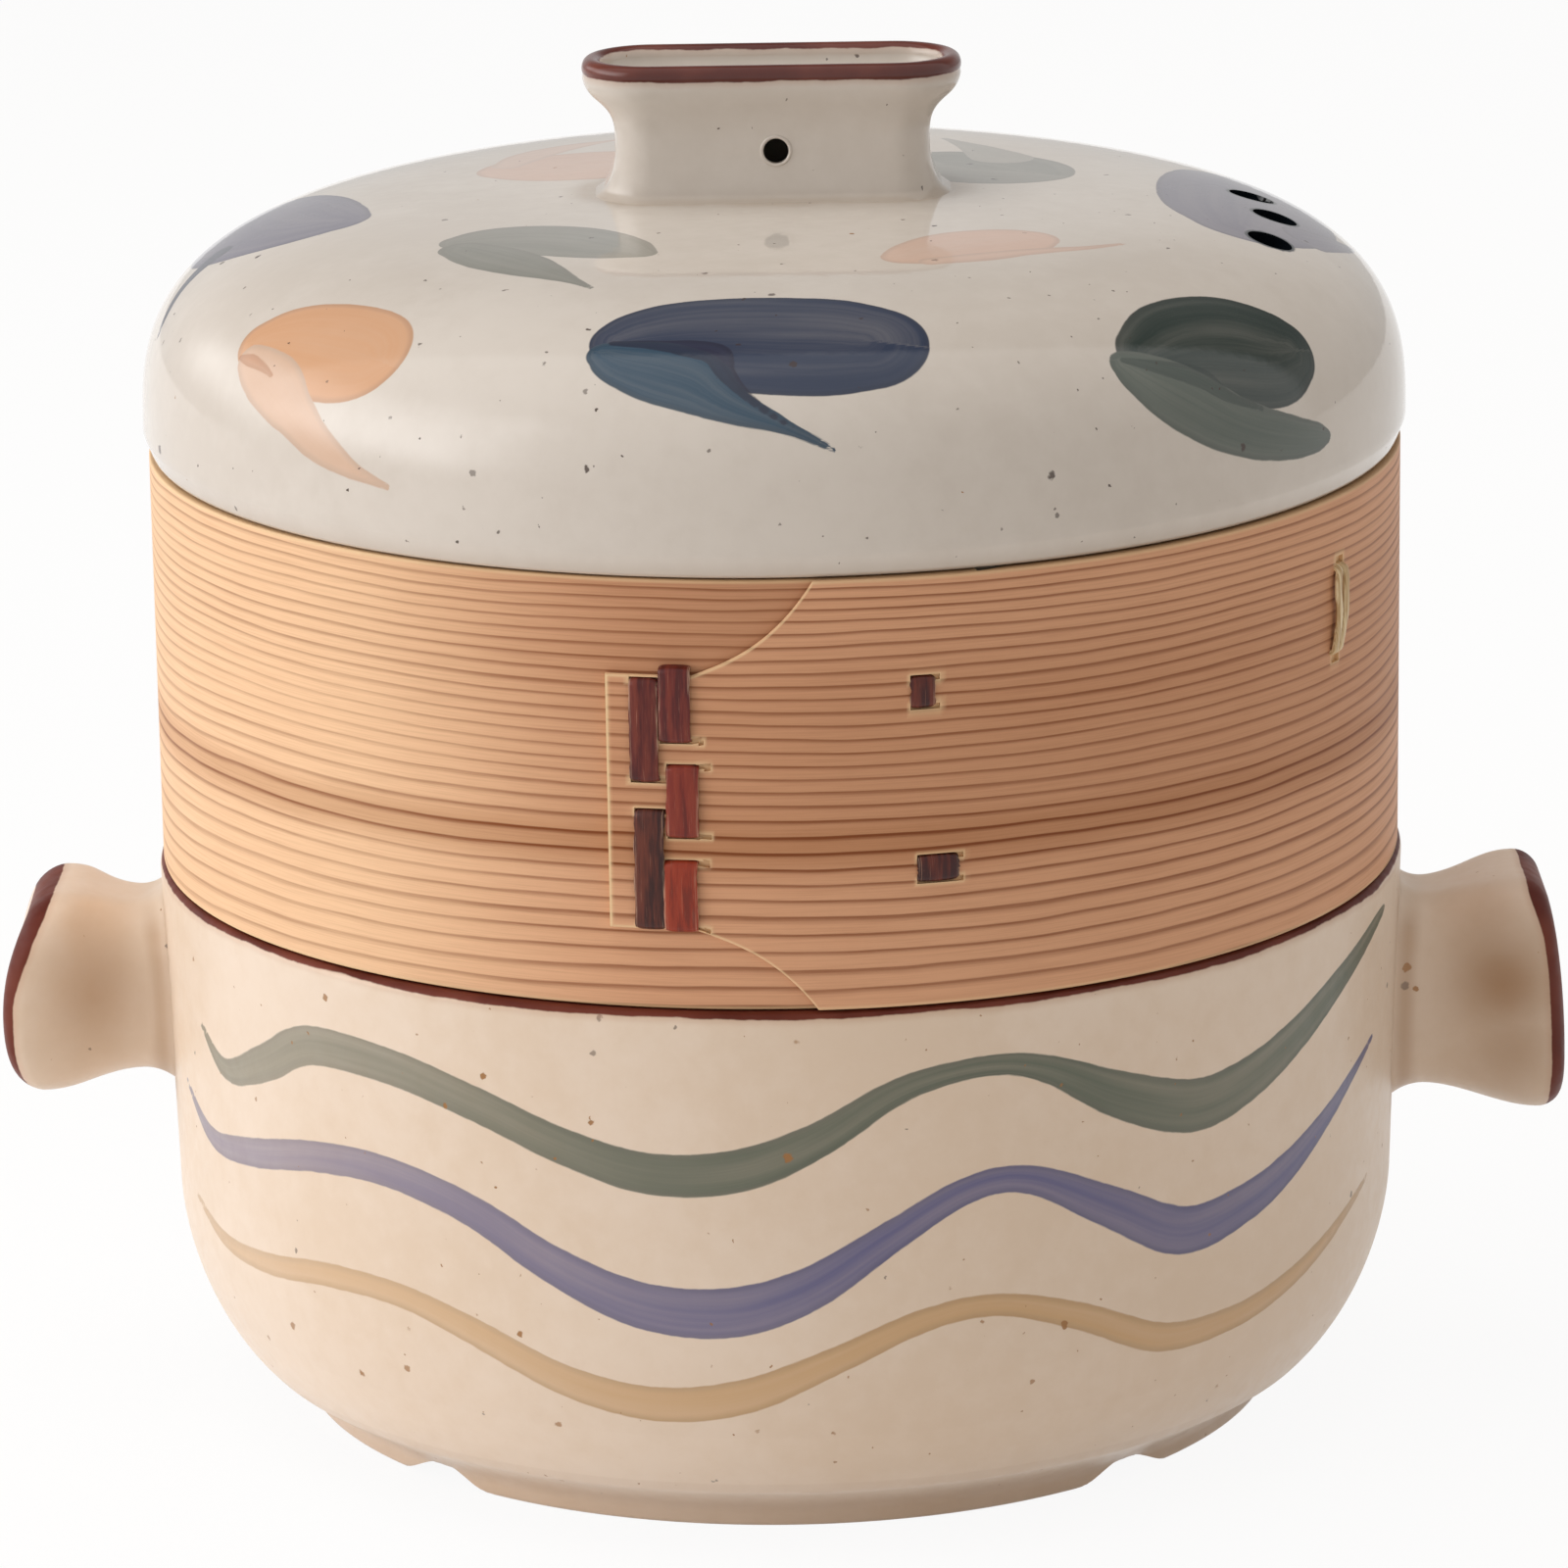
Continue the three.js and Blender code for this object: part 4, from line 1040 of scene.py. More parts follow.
def pot_handle(name, sizes, material):
    """A lump of clay pushed onto the wall, drawn out to a flared end with a shallow dish."""
    side, drop, waist_height, flare_height, drawn = HANDLES[name]
    middle = sizes.height - drop
    rings = []
    for gap, flare, growth, closed in handle_levels(sizes):
        across = sizes.handle_waist / 2 + (sizes.handle_flare - sizes.handle_waist) / 2 * flare + growth
        up = waist_height / 2 + (flare_height - waist_height) / 2 * flare + growth
        outline = rounded_outline(across, up, max(HANDLE_CORNER + growth, 4 * MM)) * (1 - closed)
        wall = wall_radius(sizes, middle + outline[:, 1])
        hugging = np.sqrt(np.maximum(wall**2 - outline[:, 0] ** 2, 0))
        plane = eased(gap / WALL_REACH)
        reach = hugging * (1 - plane) + sizes.belly_radius * plane + gap
        reach = reach - flare * np.polyval(drawn, outline[:, 1] / (flare_height / 2))
        rings.append(np.stack([side * reach, side * outline[:, 0], middle + outline[:, 1]], 1))
    mesh = piece_mesh(name, *skin(np.asarray(rings)))
    spots = points_of(mesh)
    out = spots[:, 0] * side
    up = (spots[:, 2] - middle) / (flare_height / 2)
    end = sizes.belly_radius + sizes.handle_length - np.polyval(drawn, up)
    half = (sizes.handle_flare / 2, flare_height / 2)
    outward = round_gap(spots[:, 1], spots[:, 2] - middle, *half, HANDLE_CORNER)
    if side < 0:
        band = (2.0 + 1.2 * np.clip(up * 2, 0, 1) - 0.4 * np.clip(-up * 2 - 0.6, 0, 1)) * MM
    else:
        band = (2.7 + 0.8 * np.clip(up * 4 - 2.6, 0, 1)) * MM
    depth = np.minimum(out - end + band, HANDLE_BAND + outward)
    set_field(mesh, "brown_depth", np.where(out > end - 7 * MM, depth, -1.0))
    # Painted shade in the crease at the handle's root and over its front side
    wall = wall_radius(sizes, spots[:, 2])
    gap = out - np.sqrt(np.maximum(wall**2 - spots[:, 1] ** 2, 0))
    groove = bell(gap - 2 * MM, 2.2 * MM) * 0.58 * np.clip((0.9 - up) * 4, 0, 1)
    front = np.clip(-spots[:, 1] / (sizes.handle_waist / 2), 0, 1) ** 2
    # Warm blots on the front: partly pooled glaze, partly painted shade
    warm = np.max([pooled_glaze_and_shade_blot(out, up, *blot) for blot in POOLED_GLAZE_AND_SHADE_BLOTS[name]], axis=0) + 0.14
    set_field(mesh, "pool", np.maximum(groove, front * warm))
    unpainted(mesh, "stripe")
    made = new_piece(name, mesh, material, 60.0)
    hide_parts("pot_wall")
    return made


# Tier

# Bearings of the lap, and how far it takes to thin and to settle, in degrees
TONGUE_END = -14.9
TONGUE_NECK = -7.4
LAP_SHOULDER = 3.1
HIDDEN_END = 17.5
LAP_RUN = 4.5
LAP_SETTLE = 60
LAP_GAP = 0.3 * MM  # between two layers of board
SLIT_DEPTH = 0.7 * MM
SLIT_HALF = 0.5 * MM  # half its height
LACING_ROOM = 2.1 * MM  # how far a slit runs on beyond the bark, to the right
STITCH_ROOM = 0.9 * MM
STRAP_BELLY = 0.12 * MM  # how far a strip of bark or cane swells along its middle


def tongue_edges(sizes, bearing):
    """Lower and upper edge of the visible lap: a narrow tongue that widens in two hollow curves."""
    tall = sizes.high - sizes.low
    way = np.clip((bearing - TONGUE_NECK) / (LAP_SHOULDER - TONGUE_NECK), 0, 1)
    widen = (way + way**3) / 2
    low = sizes.low + 0.19 * tall * (1 - widen)
    high = sizes.low + tall * (0.783 + 0.217 * widen)
    return low, high


def bent_board(name, radius, thickness, tongue, edge, lap_start, lap_end, edges, heights, extra, steps):
    """A board bent to a hoop with its ends lapped, its faces split at the given shares of its height."""
    tongue_end = 360 + lap_start
    bearings = np.concatenate([
        np.linspace(lap_start, 360 + lap_end, steps),
        np.linspace(lap_end, lap_end + LAP_RUN, 8),
        np.asarray(extra, float),
    ])
    bearings = np.unique(np.round(bearings, 4))
    rings = []
    for bearing in bearings:
        drop = eased((bearing - tongue_end + LAP_SETTLE) / LAP_SETTLE)
        thin = 1 - eased((bearing - lap_end) / LAP_RUN)
        outer = radius - drop * (tongue + LAP_GAP)
        inner = radius - (thickness + (tongue - thickness) * thin)
        low, high = edges(bearing)
        soft = min(edge, (outer - inner) * 0.42)
        flat = high - low - 2 * soft
        section = np.asarray([
            *arc((outer - soft, low + soft), soft, -90, 0, 3),
            *[(outer, low + soft + flat * share) for share in heights[1:-1]],
            *arc((outer - soft, high - soft), soft, 0, 90, 3),
            *arc((inner + soft, high - soft), soft, 90, 180, 3),
            *[(inner, high - soft - flat * share) for share in np.linspace(0, 1, 12)[1:-1]],
            *arc((inner + soft, low + soft), soft, 180, 270, 3),
        ])
        turn = math.radians(bearing)
        away = section[:, 0]
        rings.append(np.stack([away * math.sin(turn), -away * math.cos(turn), section[:, 1]], 1))
    rings = np.asarray(rings)
    mesh = piece_mesh(name, *skin(rings))
    count, size = rings.shape[:2]
    turned_by = np.concatenate([np.repeat(bearings, size), bearings[[0, -1]]])
    spots = points_of(mesh)
    across = np.hypot(spots[:, 0], spots[:, 1])
    lowest = spots[:, 2].min()
    board = np.stack([np.radians(turned_by) * radius, spots[:, 2] - lowest, across - radius], 1)
    set_field(mesh, "board", board)
    order = np.arange(size)
    on_edge = (order < 4) | (order > size - 5) | ((order > len(heights) + 1) & (order < len(heights) + 10))
    cut = np.concatenate([np.tile(on_edge * 1.0, count), [1.0, 1.0]])
    ends = np.isclose(turned_by, bearings[0]) | np.isclose(turned_by, bearings[-1])
    cut = np.maximum(cut * 0.55, ends * 1.0)
    set_field(mesh, "cut", cut)
    return mesh, turned_by, cut


def slit_list(sizes):
    """The slits of the outer hoop: (bearing, half width, height, half height, overhang to the right)."""
    slits = []
    for lacing in LACINGS:
        for stitch in lacing["stitches"]:
            strip = (lacing["bearing"], stitch["shift"], stitch["width"])
            slits += [(*strip, share, SLIT_HALF, LACING_ROOM) for share in stitch["ends"]]
    for stitch in SMALL_STITCHES:
        strip = (stitch["bearing"], 0.0, stitch["width"])
        slits += [(*strip, share, SLIT_HALF, STITCH_ROOM) for share in stitch["ends"]]
    for aside, share in CANE_TIE["slits"]:
        slits.append((CANE_TIE["bearing"], aside, CANE_TIE["slit_width"], share, 0.7 * MM, 0.2 * MM))
    tall = sizes.high - sizes.low
    turn = math.degrees(MM / sizes.radius)
    return [
        (bearing + aside * turn, wide / 2 * MM, sizes.low + share * tall, half, over)
        for bearing, aside, wide, share, half, over in slits
    ]


LACINGS = [
    {
        "node": "lacing_left",
        "bearing": -11.5,
        "stitches": [
            {"ends": (0.194, 0.467), "width": 5.1, "shift": 0.5, "tone": "35130f"},
            {"ends": (0.539, 0.772), "width": 4.9, "shift": -0.1, "tone": "511513"},
        ],
    },
    {
        "node": "lacing_right",
        "bearing": -8.6,
        "stitches": [
            {"ends": (0.191, 0.349), "width": 5.6, "shift": 0.1, "tone": "8f2f18"},
            {"ends": (0.411, 0.572), "width": 5.4, "shift": 0.6, "tone": "742318"},
            {"ends": (0.632, 0.799), "width": 5.4, "shift": -0.5, "tone": "5e1b18"},
        ],
    },
]
SMALL_STITCHES = [
    {"node": "stitch_upper", "bearing": 12.4, "width": 4.2, "ends": (0.699, 0.766)},
    {"node": "stitch_lower", "bearing": 13.6, "width": 7.2, "ends": (0.293, 0.348)},
]
CANE_TIE = {"bearing": 60, "ends": (0.626, 0.834), "slits": ((-1.0, 0.614), (0.5, 0.846)), "slit_width": 2.6}
# Name, seed and points: (share of the height, then sideways shift, half width and lift in millimetres)
CANE_STRANDS = [
    ("cane_strand_left", 31, [
        (0, -2.2, 0.7, -0.1), (0.16, -2.0, 0.9, 0.15), (0.34, -1.2, 0.8, 0.2), (0.52, -1.0, 0.8, 0.3),
        (0.7, -1.5, 0.9, 0.2), (0.86, -1.3, 1.0, 0.15), (1, -0.4, 1.0, -0.1),
    ]),
    ("cane_strand_right", 32, [
        (0, -0.2, 0.7, -0.2), (0.16, 0.2, 0.8, 0.0), (0.34, 1.3, 0.8, 0.05), (0.52, 1.9, 0.9, 0.1),
        (0.7, 1.7, 0.9, 0.1), (0.86, 2.0, 0.9, 0.05), (1, 1.5, 1.0, -0.2),
    ]),
]


def sink_slits(mesh, slits, radius):
    """Presses the faces inside each slit into the board."""
    shell = bmesh.new()
    shell.from_mesh(mesh)
    for bearing, half, height, reach, over in slits:
        low_turn = bearing - math.degrees(half / radius)
        high_turn = bearing + math.degrees((half + over) / radius)
        sunk = []
        for face in shell.faces:
            middle = face.calc_center_median()
            if abs(middle.z - height) > reach or math.hypot(middle.x, middle.y) < radius - 0.3 * MM:
                continue
            turn = math.degrees(math.atan2(middle.x, -middle.y))
            outward = Vector((middle.x, middle.y, 0)).normalized()
            if low_turn < turn < high_turn and face.normal.dot(outward) > 0.9:
                sunk.append(face)
        made = bmesh.ops.extrude_face_region(shell, geom=sunk)["geom"]
        bmesh.ops.delete(shell, geom=sunk, context="FACES")
        for vert in made:
            if isinstance(vert, bmesh.types.BMVert):
                vert.co += Vector((-vert.co.x, -vert.co.y, 0)).normalized() * SLIT_DEPTH
    bmesh.ops.recalc_face_normals(shell, faces=shell.faces)
    shell.to_mesh(mesh)
    shell.free()


def outer_board(sizes, material):
    """The visible hoop with its tongue, its curved lap and the slits that the bark goes through."""
    slits = slit_list(sizes)
    tongue_low, tongue_high = tongue_edges(sizes, TONGUE_END)
    shares = [*np.linspace(0, 1, 56), 0.006, 0.012, 0.988, 0.994]
    extra = [TONGUE_END + turn for turn in (0.12, 0.3, 0.5)]
    for bearing, half, height, reach, over in slits:
        low, high = (tongue_low, tongue_high) if bearing < 0 else (sizes.low, sizes.high)
        for edge_height in (height - reach, height + reach):
            shares.append((edge_height - low - sizes.edge) / (high - low - 2 * sizes.edge))
        turn = math.degrees(1 / sizes.radius)
        extra += [bearing - half * turn, bearing + (half + over) * turn]
    shares = np.unique(np.round([s for s in shares if 0 <= s <= 1], 4))
    extra += list(np.linspace(TONGUE_NECK, LAP_SHOULDER, 40))
    mesh, turned_by, cut = bent_board(
        "hoop_outer", sizes.radius, sizes.board, sizes.tongue, sizes.edge, TONGUE_END, HIDDEN_END,
        lambda bearing: tongue_edges(sizes, bearing), shares, extra, sizes.steps,
    )
    spots = points_of(mesh)
    arc_place = np.radians(turned_by) * sizes.radius
    on_face = np.abs(np.hypot(spots[:, 0], spots[:, 1]) - sizes.radius) < 0.02 * MM
    bounds = np.array([tongue_edges(sizes, turn) for turn in turned_by])
    lapped = turned_by < LAP_SHOULDER + 0.5
    from_end = arc_place - math.radians(TONGUE_END) * sizes.radius
    from_edge = np.minimum(spots[:, 2] - bounds[:, 0], bounds[:, 1] - spots[:, 2])
    from_edge = np.minimum(from_edge, from_end)
    cut = np.maximum(cut, np.clip(1.5 - from_edge / (0.45 * MM), 0, 1) * on_face * lapped)
    for bearing, half, height, reach, over in slits:
        centre = math.radians(bearing) * sizes.radius
        side = np.maximum(np.maximum(centre - half - arc_place, arc_place - centre - half - over), 0)
        up = np.maximum(np.abs(spots[:, 2] - height) - reach, 0)
        gap = np.hypot(side, up)
        cut = np.maximum(cut, bell(gap, 0.35 * MM) * on_face * 0.75)
        lip = bell(gap - 0.2 * MM, 0.3 * MM) * on_face * 0.1 * MM
        spots[:, :2] *= ((sizes.radius + lip) / sizes.radius)[:, None]
    mesh.vertices.foreach_set("co", spots.ravel())
    set_field(mesh, "cut", cut)
    sink_slits(mesh, slits, sizes.radius)
    hoop = new_piece("hoop_outer", mesh, material, 40.0)
    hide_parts("outer_hoop")
    return hoop


def inner_board(name, node, sizes, material):
    """One of the two inner hoops, its lap at the back."""
    low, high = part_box(node)[0].z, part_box(node)[1].z
    radius = sizes.radius - sizes.board - LAP_GAP
    mesh, _turned_by, _cut = bent_board(
        name, radius, sizes.board, (sizes.board - LAP_GAP) / 2, sizes.edge, -9, 9,
        lambda bearing: (low, high), np.linspace(0, 1, 30), [], sizes.steps // 2,
    )
    mesh.transform(Matrix.Rotation(math.pi, 4, "Z"))
    hoop = new_piece(name, mesh, material, 40.0)
    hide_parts(node)
    return hoop


def cut_corners(points, rounds=3):
    """A route with its corners rounded off."""
    points = np.asarray(points, float)
    for _ in range(rounds):
        near = points[:-1] * 0.75 + points[1:] * 0.25
        far = points[:-1] * 0.25 + points[1:] * 0.75
        middle = np.stack([near, far], 1).reshape(-1, points.shape[1])
        points = np.vstack([points[:1], middle, points[-1:]])
    return points


def strap_mesh(name, bearing, route, thickness, seed, rag=0.1 * MM):
    """A flat strip along a route of (radius, height, sideways shift, half width)."""
    rng = np.random.default_rng(seed)
    route = np.asarray(route, float)
    ahead = np.gradient(route[:, :2], axis=0)
    ahead /= np.maximum(np.hypot(ahead[:, 0], ahead[:, 1]), 1e-9)[:, None]
    outward = np.stack([ahead[:, 1], -ahead[:, 0]], 1)
    run = np.concatenate([[0], np.cumsum(np.hypot(*np.diff(route[:, :2], axis=0).T))])
    knots = np.linspace(0, run[-1], 40)
    ragged, ragged_far = (np.interp(run, knots, rng.normal(0, rag, len(knots))) for _ in range(2))
    turn = math.radians(bearing)
    radial = np.array([math.sin(turn), -math.cos(turn), 0.0])
    sideways = np.array([math.cos(turn), math.sin(turn), 0.0])
    shares = np.linspace(-1, 1, 11)
    rings = []
    strips = []
    for i, (radius, height, shift, half) in enumerate(route):
        ring = []
        strip = []
        for face in (1, -1):
            for share in shares if face > 0 else shares[::-1]:
                end = ragged[i] if share < 0 else ragged_far[i]
                aside = shift + share * (half + abs(share) * end)
                lift = face * thickness / 2 * (1 - 0.55 * abs(share) ** 6)
                lift += STRAP_BELLY * (1 - share**2) if face > 0 else 0
                level = np.array([0, 0, height + outward[i, 1] * lift])
                ring.append(radial * (radius + outward[i, 0] * lift) + level + sideways * aside)
                strip.append((run[i], aside, face * 0.5 + seed))
        rings.append(ring)
        strips.append(strip)
    strips.append([strips[0][0], strips[-1][0]])
    mesh = piece_mesh(name, *skin(np.asarray(rings)))
    flat = np.concatenate([np.asarray(s).reshape(-1, 3) for s in strips])
    set_field(mesh, "strip", flat)
    middle, half = (np.interp(flat[:, 0], run, route[:, column]) for column in (2, 3))
    set_field(mesh, "cut", np.clip((np.abs(flat[:, 1] - middle) / half - 0.8) * 5, 0, 1) * 0.6)
    return mesh


def bark_lacing(sizes, material):
    """Two strips of bark that lace the tongue down, in and out of their slits."""
    tall = sizes.high - sizes.low
    outside = sizes.radius + 0.12 * MM + sizes.bark_thickness / 2
    inside = sizes.radius - sizes.board + 0.3 * MM + sizes.bark_thickness / 2
    tail = 3 * MM
    made = []
    for number, lacing in enumerate(LACINGS):
        route = []
        stitches = lacing["stitches"]
        for stitch in stitches:
            low, high = (sizes.low + share * tall for share in stitch["ends"])
            half, shift = stitch["width"] / 2 * MM, stitch["shift"] * MM
            if not route:
                route.append((inside, low - tail, shift, half))
            route.append((inside, low, shift, half))
            route.append((outside, low, shift, half))
            for share, bulge in ((0.12, 0.12), (0.35, 0.26), (0.65, 0.26), (0.88, 0.12)):
                route.append((outside + bulge * MM, low + (high - low) * share, shift, half))
            route.append((outside, high, shift, half))
            route.append((inside, high, shift, half))
        route.append((inside, high + tail, shift, half))
        name = "bark_" + lacing["node"]
        mesh = strap_mesh(name, lacing["bearing"], cut_corners(route), sizes.bark_thickness, 5 + number)
        heights = [sizes.low + (stitch["ends"][0] - 0.035) * tall for stitch in stitches]
        level = np.clip(np.searchsorted(heights, points_of(mesh)[:, 2]) - 1, 0, len(stitches) - 1)
        set_field(mesh, "bark_tone", np.array([linear(stitch["tone"]) for stitch in stitches])[level])
        strap = new_piece(name, mesh, material, 50.0)
        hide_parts(lacing["node"])
        made.append(strap)
    for number, stitch in enumerate(SMALL_STITCHES):
        low, high = (sizes.low + share * tall for share in stitch["ends"])
        half = stitch["width"] / 2 * MM
        middle = (low + high) / 2
        sunk, flush = outside - 0.35 * MM, outside - 0.15 * MM
        loop = [(inside, middle), (inside, low), (sunk, low), (flush, middle), (sunk, high), (inside, high)]
        route = [(radius, height, 0, half) for radius, height in [*loop, loop[0]]]
        name = "bark_" + stitch["node"]
        mesh = strap_mesh(name, stitch["bearing"], cut_corners(route), sizes.bark_thickness, 15 + number)
        set_field(mesh, "bark_tone", np.tile(linear("3e0e0a"), (len(mesh.vertices), 1)))
        piece = new_piece(name, mesh, material, 50.0)
        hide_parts(stitch["node"])
        made.append(piece)
    return made


def cane_tie(sizes, material):
    """A loop of split cane through both hoops, drawn tight, as two strands side by side."""
    tall = sizes.high - sizes.low
    low, high = (sizes.low + share * tall for share in CANE_TIE["ends"])
    outside = sizes.radius + 0.2 * MM + sizes.cane_thickness / 2
    inside = sizes.radius - sizes.board * 2 - 0.6 * MM - sizes.cane_thickness / 2
    span = high - low
    made = []
    for name, seed, strand in CANE_STRANDS:
        shift, half = strand[0][1] * MM, 0.9 * MM
        route = [(inside, low + span / 2, shift, half), (inside, low - 0.6 * MM, shift, half)]
        for share, aside, wide, lift in strand:
            route.append((outside + lift * MM, low + span * share, aside * MM, wide * MM))
        shift = strand[-1][1] * MM
        route += [(inside, high + 0.6 * MM, shift, half), (inside, low + span / 2, shift, half)]
        thickness = sizes.cane_thickness * 0.8
        mesh = strap_mesh(name, CANE_TIE["bearing"], cut_corners(route), thickness, seed, rag=0.09 * MM)
        loop = new_piece(name, mesh, material, 50.0)
        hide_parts("cane_tie")
        made.append(loop)
    return made


# Lid

# Leaves on the unrolled dome: (paints of body and tail, their loads, body, tail), with each stroke as
# (across, away from the front, half width) in millimetres
LEAVES = [
    ("blue_paint", "teal_paint", 0.98, 0.97, [
        (-24.5, -93.2, 6.7), (-20, -93.2, 10), (-14, -93.3, 12.3), (-5, -94, 13.7), (3, -94.6, 14),
        (9, -94.8, 13.6), (15, -95.2, 11.6),
    ], [
        (-28.6, -96, 3.2), (-25.3, -98.4, 5.3), (-19.4, -101.3, 6.9), (-14, -104.2, 6.6),
        (-10.6, -107.4, 4.9), (-7.5, -109.8, 3.7), (-3.5, -111.9, 2.6), (0.5, -113.6, 1.7),
        (4, -115.2, 1.1), (7.5, -116.7, 0.8), (10.4, -118, 0.5),
    ]),
    ("green_paint", "green_paint", 0.6, 0.64, [
        (-53.5, -38.5, 4.5), (-46, -38.5, 9), (-37, -41.5, 10.5), (-29, -47.5, 8), (-22.5, -53, 3),
    ], [
        (-53.5, -43.5, 4.5), (-48.5, -50, 6), (-43, -56.5, 5.3), (-38, -62.5, 3.2), (-34, -67.5, 1.4),
        (-30.7, -72, 0.5),
    ]),
    ("orange_paint", "orange_paint", 0.85, 0.55, [
        (-91, -59, 5), (-85, -64, 9), (-78, -71, 10.8), (-72, -77, 10.2), (-69, -80.5, 6.5),
    ], [
        (-93.5, -61.5, 3.2), (-91.8, -66.5, 4.8), (-89.2, -73.1, 5.7), (-87.3, -80.2, 4.6),
        (-85.3, -87.3, 3.7), (-82.8, -92.7, 2.8), (-79.5, -98.2, 1.6), (-76.5, -101.8, 1),
        (-73.8, -104.8, 0.6),
    ]),
    ("deep_green_paint", "green_paint", 0.98, 0.9, [
        (65.9, -84.8, 7.3), (72.4, -78.3, 11.1), (80.4, -72.6, 12.2), (87.4, -68.6, 10.5),
        (91.9, -64.6, 7),
    ], [
        (61, -89.4, 3.2), (64.5, -90, 5), (70.7, -90.1, 6.4), (78.5, -89.2, 6.3), (85.5, -87.4, 5.4),
        (93.2, -83.5, 4.7), (101, -77.6, 3.7), (106, -72.5, 2.6), (108.5, -69.7, 1.3),
    ]),
    ("violet_paint", "blue_paint", 0.88, 0.9, [
        (-79, -10, 8), (-86, -5, 14), (-91, 4, 16), (-92, 14, 12), (-91, 20, 7),
    ], [
        (-100, -5, 3), (-108, -11, 1.7), (-112.5, -16, 1.2), (-116, -20, 0.5),
    ]),
    ("violet_paint", "violet_paint", 0.85, 0.8, [
        (84, -18, 10.5), (85, -8, 15.5), (86, 3, 17), (85.5, 14, 15), (84, 22, 11),
    ], [
        (96, -13, 5), (101, -7, 3.2), (105, -1, 1.6), (107, 4, 0.5),
    ]),
    ("pink_paint", "pink_paint", 0.55, 0.5, [
        (22.5, -58.5, 4), (27.5, -54.8, 7.5), (34, -50, 9.8), (40, -46.6, 8.8), (44, -44.5, 6),
    ], [
        (27, -61, 2), (36, -57, 2.2), (46, -52, 1.7), (54, -48.3, 1.1), (61, -43.6, 0.6),
    ]),
    ("pink_paint", "pink_paint", 0.5, 0.4, [
        (-45.5, 22, 8), (-39, 23.5, 13), (-31, 26, 13.5), (-24, 29, 9),
    ], [
        (-48, 28, 3), (-44, 38, 4), (-37, 47, 3), (-28, 54, 0.6),
    ]),
    ("green_paint", "green_paint", 0.6, 0.4, [
        (49.5, 11.5, 4.5), (44, 14, 11), (39, 17, 15), (33, 21, 13),
    ], [
        (42, 28, 6), (38, 38, 3.5), (34.5, 45, 1.6), (32, 50, 0.6),
    ]),
    ("deep_green_paint", "green_paint", 0.97, 0.9, [
        (-27, 86, 5), (-18, 87, 9.5), (-8, 89, 11.5), (3, 91, 11.5), (13, 92, 9), (19, 91.5, 5),
    ], [
        (-26, 90, 4), (-21, 97, 6), (-13, 103, 5), (-4, 108, 2.6), (5, 113, 0.5),
    ]),
    ("orange_paint", "orange_paint", 0.85, 0.6, [
        (62, 82, 6), (69, 76, 10), (77, 70, 11), (84, 65, 9), (89, 61, 5.5),
    ], [
        (63, 87, 4.5), (71, 89, 5), (81, 87, 4.2), (91, 81, 3), (98, 74, 0.8),
    ]),
    ("blue_paint", "teal_paint", 0.95, 0.9, [
        (-88, 62, 5.5), (-82, 67, 9.5), (-75, 72, 11), (-68, 77, 10), (-63, 81, 6),
    ], [
        (-89, 68, 4), (-85, 78, 4.6), (-79, 88, 3.6), (-71, 97, 2), (-64, 103, 0.5),
    ]),
    ("violet_paint", "violet_paint", 0.75, 0.7, [
        (-6, 52, 4), (1, 50, 8), (9, 50, 9.5), (16, 52, 7.5), (21, 54, 3.5),
    ], [
        (-5, 55, 3), (0, 61, 4.6), (7, 67, 3.6), (14, 72, 0.8),
    ]),
]
# Darker strokes over the leaves: (paint, load, stroke)
FOLDS = [
    ("fold_paint", 0.75, [
        (-27.5, -93.1, 0.6), (-20, -95, 1.3), (-13.5, -96.9, 2.3), (-9.5, -98.8, 2.6), (-8.2, -103, 1.8),
        (-5.5, -107.3, 1.1), (-1.5, -111.3, 0.7), (3, -114.3, 0.45),
    ]),
    ("amber_paint", 0.5, [
        (-95.4, -58.8, 0.5), (-93.2, -62, 1.3), (-90.8, -66.5, 0.8), (-89.5, -70, 0.45),
    ]),
    ("deep_green_paint", 0.5, [
        (60, -88.6, 0.6), (68, -86.5, 1.6), (75.5, -84.2, 2.2), (82, -84, 1.2), (90, -80.6, 0.5),
    ]),
]
# Vents: bearing in degrees and distance from the axis in millimetres
VENTS = [(74.8, 90.9), (87.1, 89.8), (97, 86.7)]
VENT_TILT = 27
DOME_POWERS = (4.5, 2.85)
LID_HUB = 6 * MM
FLANGE_EDGE = 0.8 * MM
LID_EDGE = 1.6 * MM


def dome_profile(sizes):
    """Radius and height of the dome, from its widest circle to the top."""
    return quarter((0, sizes.widest), sizes.radius, sizes.crown, *DOME_POWERS, 170)


def lid_profile(sizes):
    """Radius and height of the lid's skin, down the inside, round the flange and up the outside."""
    outer = sizes.flange_radius
    bore = outer - sizes.flange_width
    low = sizes.low - sizes.flange_depth
    rounding = low + FLANGE_EDGE
    half = bore + sizes.flange_width / 2
    inside = quarter((0, sizes.widest), half, sizes.crown - sizes.wall, *DOME_POWERS, 90)[::-1]
    dome = dome_profile(sizes)
    return np.vstack([
        inside[inside[:, 0] > LID_HUB],
        line((bore, sizes.low + 2 * MM), (bore, rounding), 6),
        arc((bore + FLANGE_EDGE, rounding), FLANGE_EDGE, 180, 270, 4),
        arc((outer - FLANGE_EDGE, rounding), FLANGE_EDGE, -90, 0, 4),
        line((outer, rounding), (outer, sizes.low), 5)[1:],
        line((outer, sizes.low), (sizes.edge_radius - LID_EDGE, sizes.low), 4),
        arc((sizes.edge_radius - LID_EDGE, sizes.low + LID_EDGE), LID_EDGE, -90, -14, 7),
        line((sizes.edge_radius + 0.1 * MM, sizes.low + LID_EDGE * 1.1), (sizes.radius, sizes.widest), 5)[1:],
        dome[dome[:, 0] > LID_HUB],
    ])


